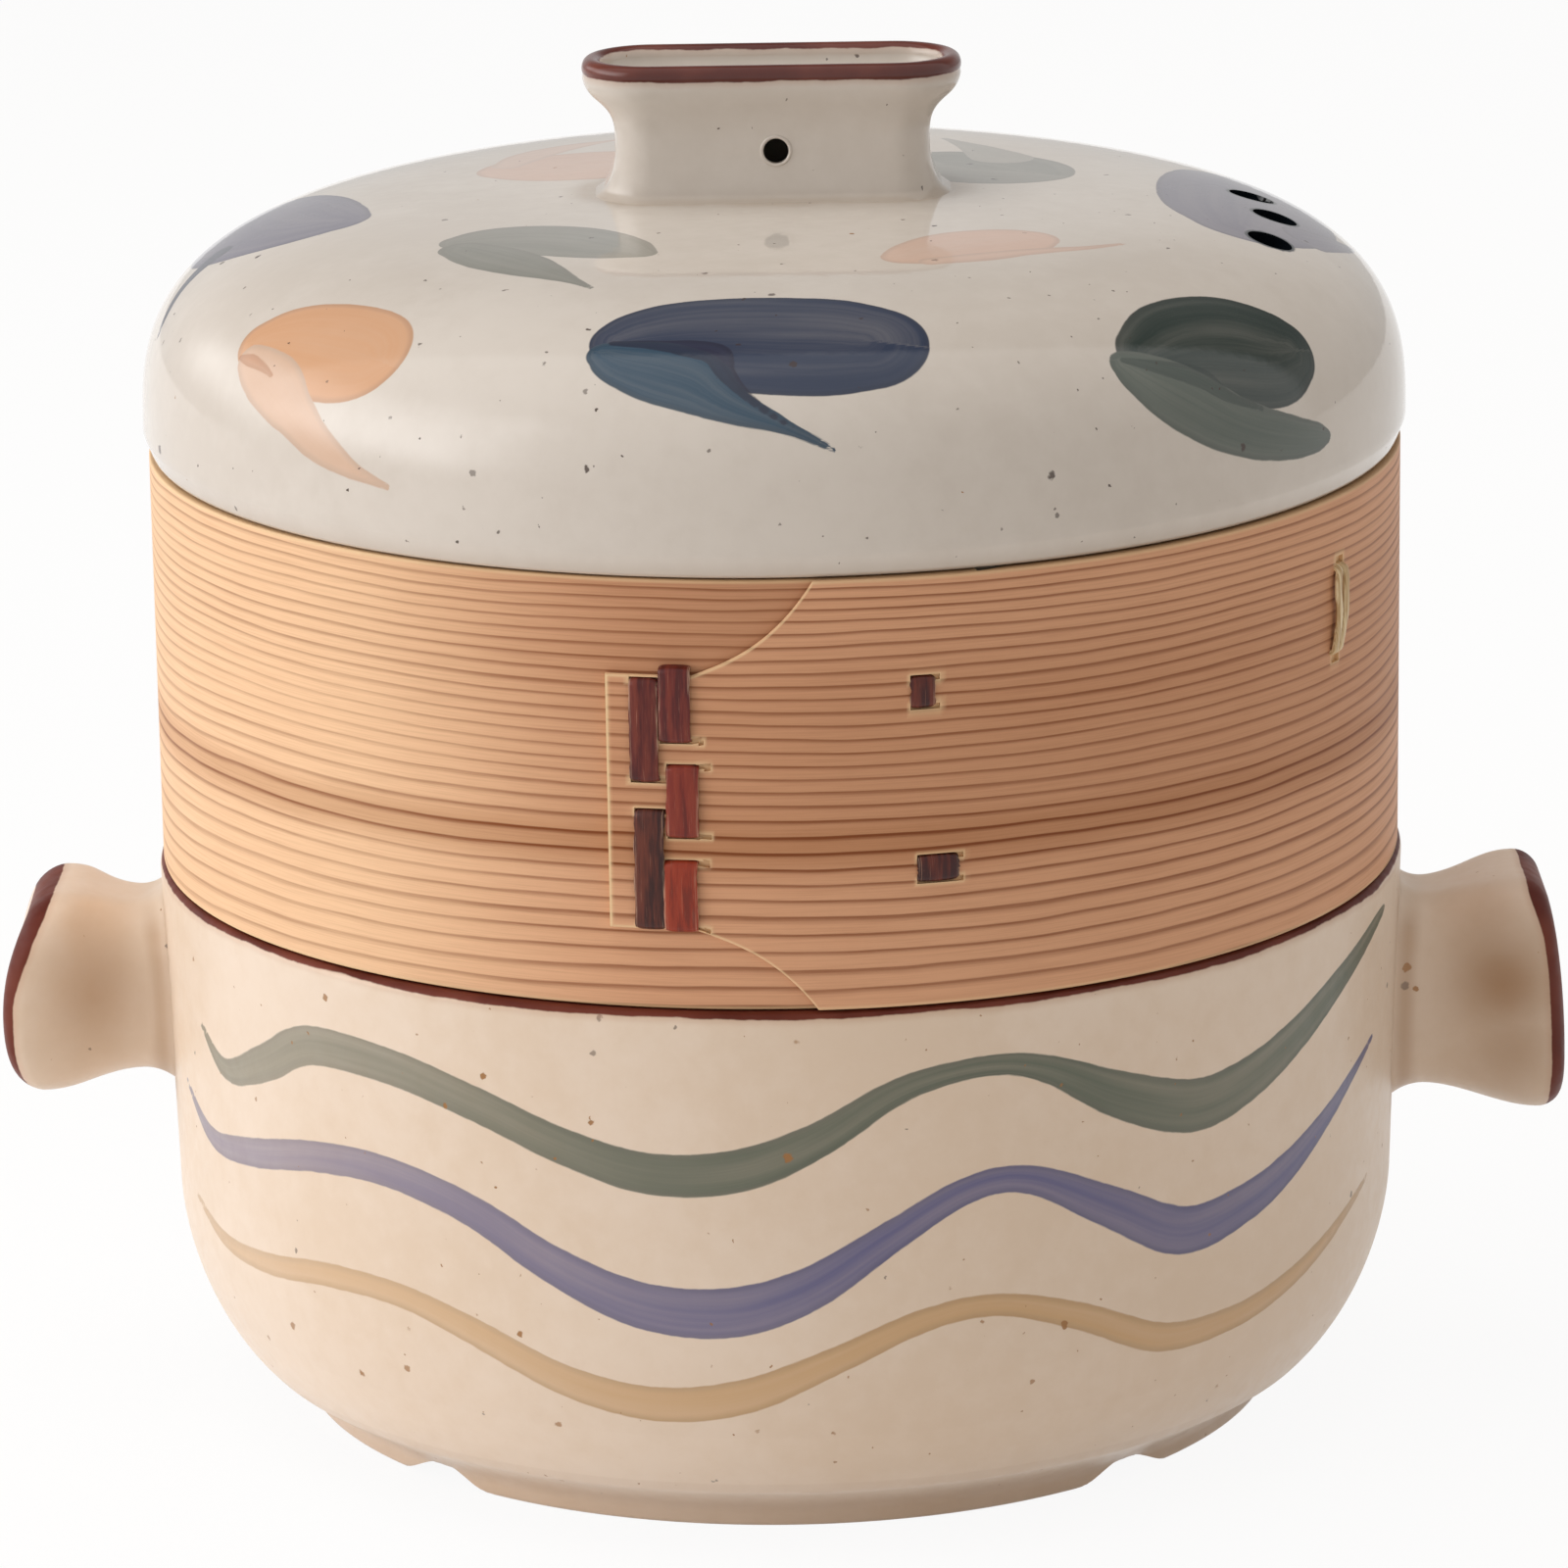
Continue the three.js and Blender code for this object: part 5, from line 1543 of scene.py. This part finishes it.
def carve(target, cutters):
    """Cuts closed meshes out of a piece."""
    for cutter in cutters:
        cut = target.modifiers.new("Cut", "BOOLEAN")
        cut.operation = "DIFFERENCE"
        cut.solver = "EXACT"
        cut.object = cutter
    bpy.context.view_layer.update()
    shaped = target.evaluated_get(bpy.context.evaluated_depsgraph_get())
    mesh = bpy.data.meshes.new_from_object(shaped)
    target.modifiers.clear()
    target.data = mesh
    for cutter in cutters:
        bpy.data.objects.remove(cutter)
    return mesh


def drill_bit(name, radius, reach, matrix):
    """A round bit for a hole, along its own Z axis."""
    turn = np.linspace(0, 2 * math.pi, 40, endpoint=False)
    ring = np.stack([radius * np.cos(turn), radius * np.sin(turn), np.zeros(len(turn))], 1)
    mesh = piece_mesh(name, *skin(np.asarray([ring - (0, 0, reach), ring + (0, 0, reach)])))
    mesh.transform(matrix)
    return placed(name, mesh)


def with_bead(mesh, radius, thickness, matrix):
    """A mesh with a rounded bead of glaze round a hole."""
    around, across = 48, 10
    verts = [tuple(v.co) for v in mesh.vertices]
    faces = [tuple(p.vertices) for p in mesh.polygons]
    start = len(verts)
    for a in np.linspace(0, 2 * math.pi, around, endpoint=False):
        for b in np.linspace(0, 2 * math.pi, across, endpoint=False):
            reach = radius + thickness * math.cos(b)
            spot = Vector((reach * math.cos(a), reach * math.sin(a), thickness * math.sin(b)))
            verts.append(tuple(matrix @ spot))
    for i in range(around):
        here, after = start + i * across, start + (i + 1) % around * across
        for k in range(across):
            beside = (k + 1) % across
            faces.append((here + k, after + k, after + beside, here + beside))
    return piece_mesh(mesh.name, verts, faces)


def knob_ring(sizes, inset, height, face_inset):
    """One ring of the knob, drawn in by an inset at its ends and another at its long faces."""
    half = (sizes.knob_width / 2 - inset, sizes.knob_depth / 2 - face_inset)
    outline = rounded_outline(*half, KNOB_CORNER - inset, 16, 12)
    base = sizes.widest + sizes.crown
    return np.stack([KNOB_OFFSET + outline[:, 0], outline[:, 1], np.full(len(outline), base + height)], 1)


# The knob's side from the dome up to its lip, as height over the dome and inset at its ends
KNOB_SIDE = [
    (-1.1, 0.6), (-0.35, 1.6), (0.35, 2.7), (1.2, 3.7), (2.6, 4.5), (4.6, 5.2), (7, 5.7), (9.5, 5.8),
    (12.2, 5.7), (14, 5.3), (15.5, 4.4), (16.8, 3), (17.8, 1.7), (18.9, 0.75), (20.2, 0.2), (21.6, 0),
]
KNOB_OFFSET = 0.4 * MM
KNOB_CORNER = 12.4 * MM
KNOB_LIP = 1.9 * MM
KNOB_BANDS = (2.7 * MM, 0.75 * MM)  # bare brown clay down the outside and down the inside
KNOB_FACE_SHARE = 0.3  # how much of the side's inset its long faces take
KNOB_WAIST = 5.75 * MM  # the deepest inset of the side
KNOB_ROOM = (9.4 * MM, 5.4 * MM)  # the hollow's insets at the ends and at the long faces
ROOM_LEVELS = (1.5 * MM, 15 * MM)
PIN_PLACE = (1 * MM, 8.9 * MM)  # across, and over the dome
KNOB_FOOT = 3.7 * MM  # the long faces spread where the side's inset is less than this
FOOT_HEIGHT = 2 * MM
RECESS_FALL = 2.6 * MM  # from the lip down to the recess, and on to its floor
RECESS_RUN = 1.5 * MM
RECESS_FLOOR = 2.9 * MM


def knob_levels(sizes):
    """Insets, heights and face insets of the knob's rings, from inside the dome to its recess."""
    lip_centre = sizes.knob_height - KNOB_LIP
    levels = []
    for height, inset in smooth_route(KNOB_SIDE, 4)[:-2] * MM:
        foot = max(KNOB_FOOT - inset, 0) if height < FOOT_HEIGHT else 0.0
        levels.append((inset, height, inset * KNOB_FACE_SHARE - foot * 0.6))
    for turn in np.radians(np.linspace(-24, 180, 20)):
        inset = KNOB_LIP * (1 - math.cos(turn))
        levels.append((inset, lip_centre + KNOB_LIP * math.sin(turn), inset))
    for share in np.linspace(0, 1, 6)[1:]:
        inset = 2 * KNOB_LIP + RECESS_RUN * share**2
        levels.append((inset, lip_centre - RECESS_FALL * share, inset))
    for inset in (7 * MM, 8.5 * MM, 10 * MM):
        levels.append((inset, lip_centre - RECESS_FLOOR, inset))
    return levels


def lid_fields(mesh, sizes, colours):
    """Gives a lid's mesh its painted leaves."""
    spots = points_of(mesh)
    radius = np.hypot(spots[:, 0], spots[:, 1])
    profile = dome_profile(sizes)[::-1]
    run = np.concatenate([[0], np.cumsum(np.hypot(*np.diff(profile, axis=0).T))])
    height_there = np.interp(radius, profile[:, 0], profile[:, 1])
    outside = np.abs(spots[:, 2] - height_there) < 1.5 * MM
    reach = np.interp(radius, profile[:, 0], run)
    scale = np.where(radius > 1e-5, reach / np.maximum(radius, 1e-5), 1.0)
    unrolled = np.stack([spots[:, 0] * scale, spots[:, 1] * scale], 1)
    unrolled[~outside] = 1.0
    loaded = lambda paint, load: (*tuple(getattr(colours, paint))[:3], load)
    painted_fields(mesh, "leaf", unrolled, [(loaded(leaf[0], leaf[2]), leaf[4]) for leaf in LEAVES])
    painted_fields(mesh, "tail", unrolled, [(loaded(leaf[1], leaf[3]), leaf[5]) for leaf in LEAVES])
    painted_fields(mesh, "fold", unrolled, [(loaded(paint, load), stroke) for paint, load, stroke in FOLDS])
    return spots


def knob_gap(sizes, spots):
    """How far places lie outside the outline of the knob."""
    half = (sizes.knob_width / 2, sizes.knob_depth / 2)
    return round_gap(spots[:, 0] - KNOB_OFFSET, spots[:, 1], *half, KNOB_CORNER)


def lid_dome(sizes, colours, material):
    """The dome with its flange and its steam vents."""
    bearings = np.linspace(-180, 180, sizes.steps, endpoint=False)
    mesh = piece_mesh("lid_dome", *skin(turned_rings(lid_profile(sizes), bearings)))
    dome = new_piece("lid_dome", mesh, material)
    top = sizes.widest + sizes.crown
    cutters = []
    axes = []
    for number, (bearing, reach) in enumerate(VENTS):
        spot = Matrix.Translation((0, -reach * MM, top - sizes.wall))
        tilt = Matrix.Rotation(math.radians(bearing), 4, "Z") @ spot
        tilt = tilt @ Matrix.Rotation(math.radians(VENT_TILT), 4, "X")
        cutters.append(drill_bit(f"vent_bit_{number}", sizes.vent_radius, 12 * MM, tilt))
        axes.append((np.array(tilt.translation), np.array(tilt.to_3x3() @ Vector((0, 0, 1)))))
    mesh = carve(dome, cutters)
    spots = lid_fields(mesh, sizes, colours)
    # Painted shade: the vents' walls and the glaze round them near black
    hollow = np.zeros(len(spots))
    for origin, axis in axes:
        offset = spots - origin
        gap = np.linalg.norm(offset - np.outer(offset @ axis, axis), axis=1) - sizes.vent_radius
        hollow = np.maximum(hollow, bell(np.maximum(gap, 0), 0.7 * MM) * (np.abs(offset @ axis) < 9 * MM))
    set_field(mesh, "hollow", hollow)
    set_field(mesh, "brown_depth", np.full(len(spots), -1.0))
    # Painted shade round the knob's foot and along the lid's lower edge
    foot = bell(np.maximum(knob_gap(sizes, spots), 0), 2 * MM) * (spots[:, 2] > top - 3 * MM)
    set_field(mesh, "pool", np.maximum(foot * 0.4, bell(spots[:, 2] - sizes.low, 2.2 * MM) * 0.35))
    dome = new_piece("lid_dome", mesh, material, 32.0)
    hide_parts("lid")
    return dome


def lid_knob(sizes, material):
    """The oblong knob with its rolled brown lip, its hollow and its pin hole."""
    rings = np.asarray([knob_ring(sizes, *level) for level in knob_levels(sizes)])
    mesh = piece_mesh("lid_knob", *skin(rings))
    knob = new_piece("lid_knob", mesh, material)
    base = sizes.widest + sizes.crown
    hollow = np.asarray([knob_ring(sizes, KNOB_ROOM[0], height, KNOB_ROOM[1]) for height in ROOM_LEVELS])
    room = placed("knob_room", piece_mesh("knob_room", *skin(hollow)))
    turned = Matrix.Rotation(math.pi / 2, 4, "X")
    front = Matrix.Translation((PIN_PLACE[0], -10 * MM, base + PIN_PLACE[1])) @ turned
    mesh = carve(knob, [room, drill_bit("pin_bit", sizes.pin_radius, 7 * MM, front)])
    face_reach = sizes.knob_depth / 2 - KNOB_WAIST * KNOB_FACE_SHARE
    face = Matrix.Translation((PIN_PLACE[0], -face_reach + 0.08 * MM, base + PIN_PLACE[1])) @ turned
    mesh = with_bead(mesh, sizes.pin_radius + 0.15 * MM, 0.34 * MM, face)
    spots = points_of(mesh)
    edge = knob_gap(sizes, spots)
    band = np.where(edge > -KNOB_LIP, *KNOB_BANDS)
    set_field(mesh, "brown_depth", spots[:, 2] - base - sizes.knob_height + band)
    # Painted shade: near black inside the knob's hollow and down the pin hole's bore
    inside = bell(np.maximum(edge + 9 * MM, 0), 3 * MM) * (spots[:, 2] < base + 16 * MM)
    pin = np.hypot(spots[:, 0] - PIN_PLACE[0], spots[:, 2] - base - PIN_PLACE[1]) - sizes.pin_radius
    bore = (np.abs(pin) < 0.05 * MM) & (spots[:, 1] < 0) & (spots[:, 1] > -face_reach + 0.3 * MM)
    set_field(mesh, "hollow", np.maximum(inside, bore * 1.0))
    # Painted shade at the knob's foot
    set_field(mesh, "pool", bell(spots[:, 2] - base, 1.5 * MM) * 0.3)
    unpainted(mesh, "leaf", "tail", "fold")
    knob = new_piece("lid_knob", mesh, material, 38.0)
    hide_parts("lid")
    return knob


# Operators


class STEAMER_OT_stage(bpy.types.Operator):
    """Makes the floor, the lamps, the world and the camera"""

    bl_idname = "steamer.make_stage"
    bl_label = "Stage"

    def execute(self, context):
        scene = context.scene
        scene.view_settings.view_transform = "Standard"
        make_floor()
        make_world(scene)
        make_lamps()
        make_camera(scene)
        return {"FINISHED"}


FLOOR_REACH = 4.0
LAMP_TARGET = (0.0, 0.0, 0.12)
CAMERA_TARGET = (0.00076, 0.0, 0.1101)
CAMERA_REACH = 1.4
CAMERA_RISE = 15.43
CAMERA_ROLL = 0.85
FOCAL_LENGTH = 176.06
WORLD_FILL = 0.47
# What the gloss mirrors on the left: (turns from the front, rises, softness) in degrees
WINDOW = ((-138.0, -48.0), (-52.0, 44.0), 8.0)
WINDOW_CORE = ((-104.0, -60.0), (-36.0, 32.0), 9.0)
WINDOW_TURN = -52.0  # where its top edge is highest


def make_floor():
    """A plain pale floor that keeps the shadow."""
    material, tree, shader = new_material("Pale floor")
    shader.inputs["Base Color"].default_value = linear("f8f6f4")
    shader.inputs["Roughness"].default_value = 0.9
    path = add_node(tree, "ShaderNodeLightPath").outputs
    mirrored = larger(tree, path["Is Glossy Ray"], path["Is Transmission Ray"])
    seen = larger(tree, path["Is Camera Ray"], mirrored)
    glow = add_node(tree, "ShaderNodeEmission", {"Color": (1, 1, 1, 1), "Strength": 1.0})
    layers = {0: times(tree, seen, 0.92), 1: shader.outputs[0], 2: glow.outputs[0]}
    blend = add_node(tree, "ShaderNodeMixShader", layers)
    output = next(n for n in tree.nodes if n.bl_idname == "ShaderNodeOutputMaterial")
    feed(tree, output.inputs[0], blend.outputs[0])
    corners = [(x * FLOOR_REACH, y * FLOOR_REACH, 0) for x, y in ((-1, -1), (1, -1), (1, 1), (-1, 1))]
    mesh = bpy.data.meshes.new("floor")
    mesh.from_pydata(corners, [], [(0, 1, 2, 3)])
    floor = new_piece("floor", mesh, material)
    floor.location.z = -0.1 * MM


def make_world(scene):
    """White behind the object, a soft warm fill on it, and a soft box on the left in its gloss."""
    world = bpy.data.worlds.new("Studio white")
    world.use_nodes = True
    tree = world.node_tree
    tree.nodes.clear()
    path = add_node(tree, "ShaderNodeLightPath").outputs
    side, ahead, height = split_vector(tree, add_node(tree, "ShaderNodeTexCoord").outputs["Generated"])
    front = fit(tree, ahead, 0.4, 0.32)
    back = fit(tree, height, 0.2, 0.5, 0.6, 0.3)
    room = plus(tree, times(tree, front, minus(tree, 0.95, back)), back)
    turn = times(tree, calc(tree, "ARCTAN2", side, times(tree, ahead, -1.0)), math.degrees(1))
    rise = times(tree, calc(tree, "ARCSINE", height), math.degrees(1))
    box = soft_window(tree, turn, rise, *WINDOW)
    core = soft_window(tree, turn, rise, *WINDOW_CORE)
    lit = times(tree, plus(tree, box, core), fit(tree, rise, 0.0, 16.0, 0.0, 1.5))
    mirrored = larger(tree, path["Is Glossy Ray"], path["Is Transmission Ray"])
    gloss = plus(tree, room, lit)
    level = plus(tree, times(tree, mirrored, minus(tree, gloss, WORLD_FILL)), WORLD_FILL)
    level = larger(tree, level, path["Is Camera Ray"])
    warm = larger(tree, mirrored, path["Is Camera Ray"])
    colour = mixed(tree, warm, (1.0, 0.92, 0.835, 1.0), (1.0, 1.0, 1.0, 1.0))
    glow = add_node(tree, "ShaderNodeBackground", {"Color": colour, "Strength": level})
    add_node(tree, "ShaderNodeOutputWorld", {0: glow.outputs[0]})
    scene.world = world


def soft_window(tree, turn, rise, turns, rises, soft):
    """One inside a range of turns and rises in degrees; the sides are soft, the top falls away behind."""
    far = minus(tree, turn, WINDOW_TURN)
    high = plus(tree, rise, times(tree, times(tree, far, far), 0.0035))
    total = 1.0
    for value, edge, side in (
        (turn, turns[0], soft),
        (turn, turns[1], -soft),
        (rise, rises[0], soft),
        (high, rises[1], -soft),
    ):
        total = times(tree, total, fit(tree, value, edge - side, edge + side))
    return total


def soft_lamp(name, spot, size, power, colour):
    """A soft box aimed at the pot, which the gloss doesn't show."""
    light = bpy.data.lights.new(name, "AREA")
    light.shape = "RECTANGLE"
    light.size, light.size_y = size
    light.energy = power
    light.color = colour
    lamp = placed(name, light)
    lamp.location = spot
    lamp.rotation_euler = (Vector(LAMP_TARGET) - Vector(spot)).to_track_quat("-Z", "Y").to_euler()
    lamp.visible_glossy = False


def make_lamps():
    """A large soft box low on the left and another one overhead."""
    soft_lamp("key_box", (-1.42, -0.3, 0.3), (1.5, 0.8), 13.0, (1.0, 0.985, 0.985))
    soft_lamp("top_box", (-0.3, 0.1, 1.6), (1.4, 1.2), 12.5, (1.0, 0.98, 0.96))


def make_camera(scene):
    """The camera at the photograph's angle."""
    lens = bpy.data.cameras.new("photo_camera")
    lens.lens = FOCAL_LENGTH
    lens.sensor_width = 36
    lens.clip_start = 0.05
    lens.clip_end = 50
    camera = placed("photo_camera", lens)
    rise, roll = math.radians(CAMERA_RISE), math.radians(CAMERA_ROLL)
    ahead = Vector((0, math.cos(rise), -math.sin(rise)))
    right = Vector((1, 0, 0))
    up = right.cross(ahead)
    axis_x = right * math.cos(roll) - up * math.sin(roll)
    axis_y = up * math.cos(roll) + right * math.sin(roll)
    pose = Matrix((axis_x, axis_y, -ahead)).transposed().to_4x4()
    pose.translation = Vector(CAMERA_TARGET) - ahead * CAMERA_REACH
    camera.matrix_world = pose
    scene.camera = camera


class STEAMER_OT_pot(bpy.types.Operator):
    """Makes the glazed pot and its two handles"""

    bl_idname = "steamer.make_pot"
    bl_label = "Pot"

    def execute(self, context):
        sizes, colours = context.scene.steamer_pot, context.scene.steamer_colours
        glaze = pot_glaze(colours)
        for piece in [pot_bowl(sizes, colours, glaze), *[pot_handle(name, sizes, glaze) for name in HANDLES]]:
            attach(piece, "pot")
        return {"FINISHED"}


class STEAMER_OT_hoops(bpy.types.Operator):
    """Makes the outer hoop and the two inner hoops"""

    bl_idname = "steamer.make_hoops"
    bl_label = "Hoops"

    def execute(self, context):
        sizes, colours = context.scene.steamer_tier, context.scene.steamer_colours
        tones = (colours.cedar_pale, colours.cedar_dark)
        inner_tones = (colours.inner_pale, colours.inner_dark)
        cedar = hoop_wood("Cedar board", tones, sizes.ring_spacing, 0.0, 0.55)
        pale = hoop_wood("Pale cedar board", inner_tones, 2.9 * MM, 7.0, 0.6)
        outer = outer_board(sizes, cedar)
        inner = [
            inner_board("hoop_inner_upper", "upper_inner_hoop", sizes, pale),
            inner_board("hoop_inner_lower", "lower_inner_hoop", sizes, pale),
        ]
        for piece in [outer, *inner]:
            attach(piece, "steamer")
        return {"FINISHED"}


class STEAMER_OT_shelf(bpy.types.Operator):
    """Gives the slats and bearers their bamboo finish and soft edges"""

    bl_idname = "steamer.make_shelf"
    bl_label = "Shelf"

    def execute(self, context):
        sizes, colours = context.scene.steamer_tier, context.scene.steamer_colours
        bamboo = bamboo_wood(colours)
        for name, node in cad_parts.items():
            if not name.startswith(("slat_", "bearer_")):
                continue
            node.data.materials.clear()
            node.data.materials.append(bamboo)
            soft = node.modifiers.new("Soft edges", "BEVEL")
            soft.width = sizes.slat_edge
            soft.segments = 2
            soft.limit_method = "ANGLE"
        return {"FINISHED"}


class STEAMER_OT_lacing(bpy.types.Operator):
    """Makes the bark lacing, the two bark stitches and the cane tie"""

    bl_idname = "steamer.make_lacing"
    bl_label = "Lacing"

    def execute(self, context):
        sizes, colours = context.scene.steamer_tier, context.scene.steamer_colours
        for piece in bark_lacing(sizes, bark_skin()):
            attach(piece, "steamer")
        for strand in cane_tie(sizes, cane_skin(colours)):
            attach(strand, "steamer")
        return {"FINISHED"}


class STEAMER_OT_lid(bpy.types.Operator):
    """Makes the glazed lid with its painted leaves and its knob"""

    bl_idname = "steamer.make_lid"
    bl_label = "Lid"

    def execute(self, context):
        sizes, colours = context.scene.steamer_lid, context.scene.steamer_colours
        glaze = lid_glaze(colours)
        for piece in (lid_dome(sizes, colours, glaze), lid_knob(sizes, glaze)):
            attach(piece, "lid")
        return {"FINISHED"}


class STEAMER_PT_sidebar(bpy.types.Panel):
    """Lists the steps that make the steamer pot, and its sizes and colours"""

    bl_idname = "STEAMER_PT_sidebar"
    bl_label = "Steamer pot"
    bl_space_type = "VIEW_3D"
    bl_region_type = "UI"
    bl_category = "Steamer pot"

    def draw(self, context):
        layout = self.layout
        for step in STEPS:
            layout.operator(step.bl_idname)
        for name, group in GROUPS.items():
            box = layout.box()
            box.label(text=group.__doc__)
            held = getattr(context.scene, name)
            for key in group.__annotations__:
                box.prop(held, key)


STEPS = (
    STEAMER_OT_stage,
    STEAMER_OT_pot,
    STEAMER_OT_hoops,
    STEAMER_OT_shelf,
    STEAMER_OT_lacing,
    STEAMER_OT_lid,
)
GROUPS = {
    "steamer_pot": PotSizes,
    "steamer_tier": TierSizes,
    "steamer_lid": LidSizes,
    "steamer_colours": Colours,
}


def register():
    for group in GROUPS.values():
        bpy.utils.register_class(group)
    for step in STEPS:
        bpy.utils.register_class(step)
    bpy.utils.register_class(STEAMER_PT_sidebar)
    for name, group in GROUPS.items():
        setattr(bpy.types.Scene, name, PointerProperty(type=group))


def unregister():
    for name in GROUPS:
        delattr(bpy.types.Scene, name)
    bpy.utils.unregister_class(STEAMER_PT_sidebar)
    for step in reversed(STEPS):
        bpy.utils.unregister_class(step)
    for group in reversed(list(GROUPS.values())):
        bpy.utils.unregister_class(group)


def main():
    register()
    bpy.ops.steamer.make_stage()
    bpy.ops.steamer.make_pot()
    bpy.ops.steamer.make_hoops()
    bpy.ops.steamer.make_shelf()
    bpy.ops.steamer.make_lacing()
    bpy.ops.steamer.make_lid()


if __name__ == "__main__":
    main()
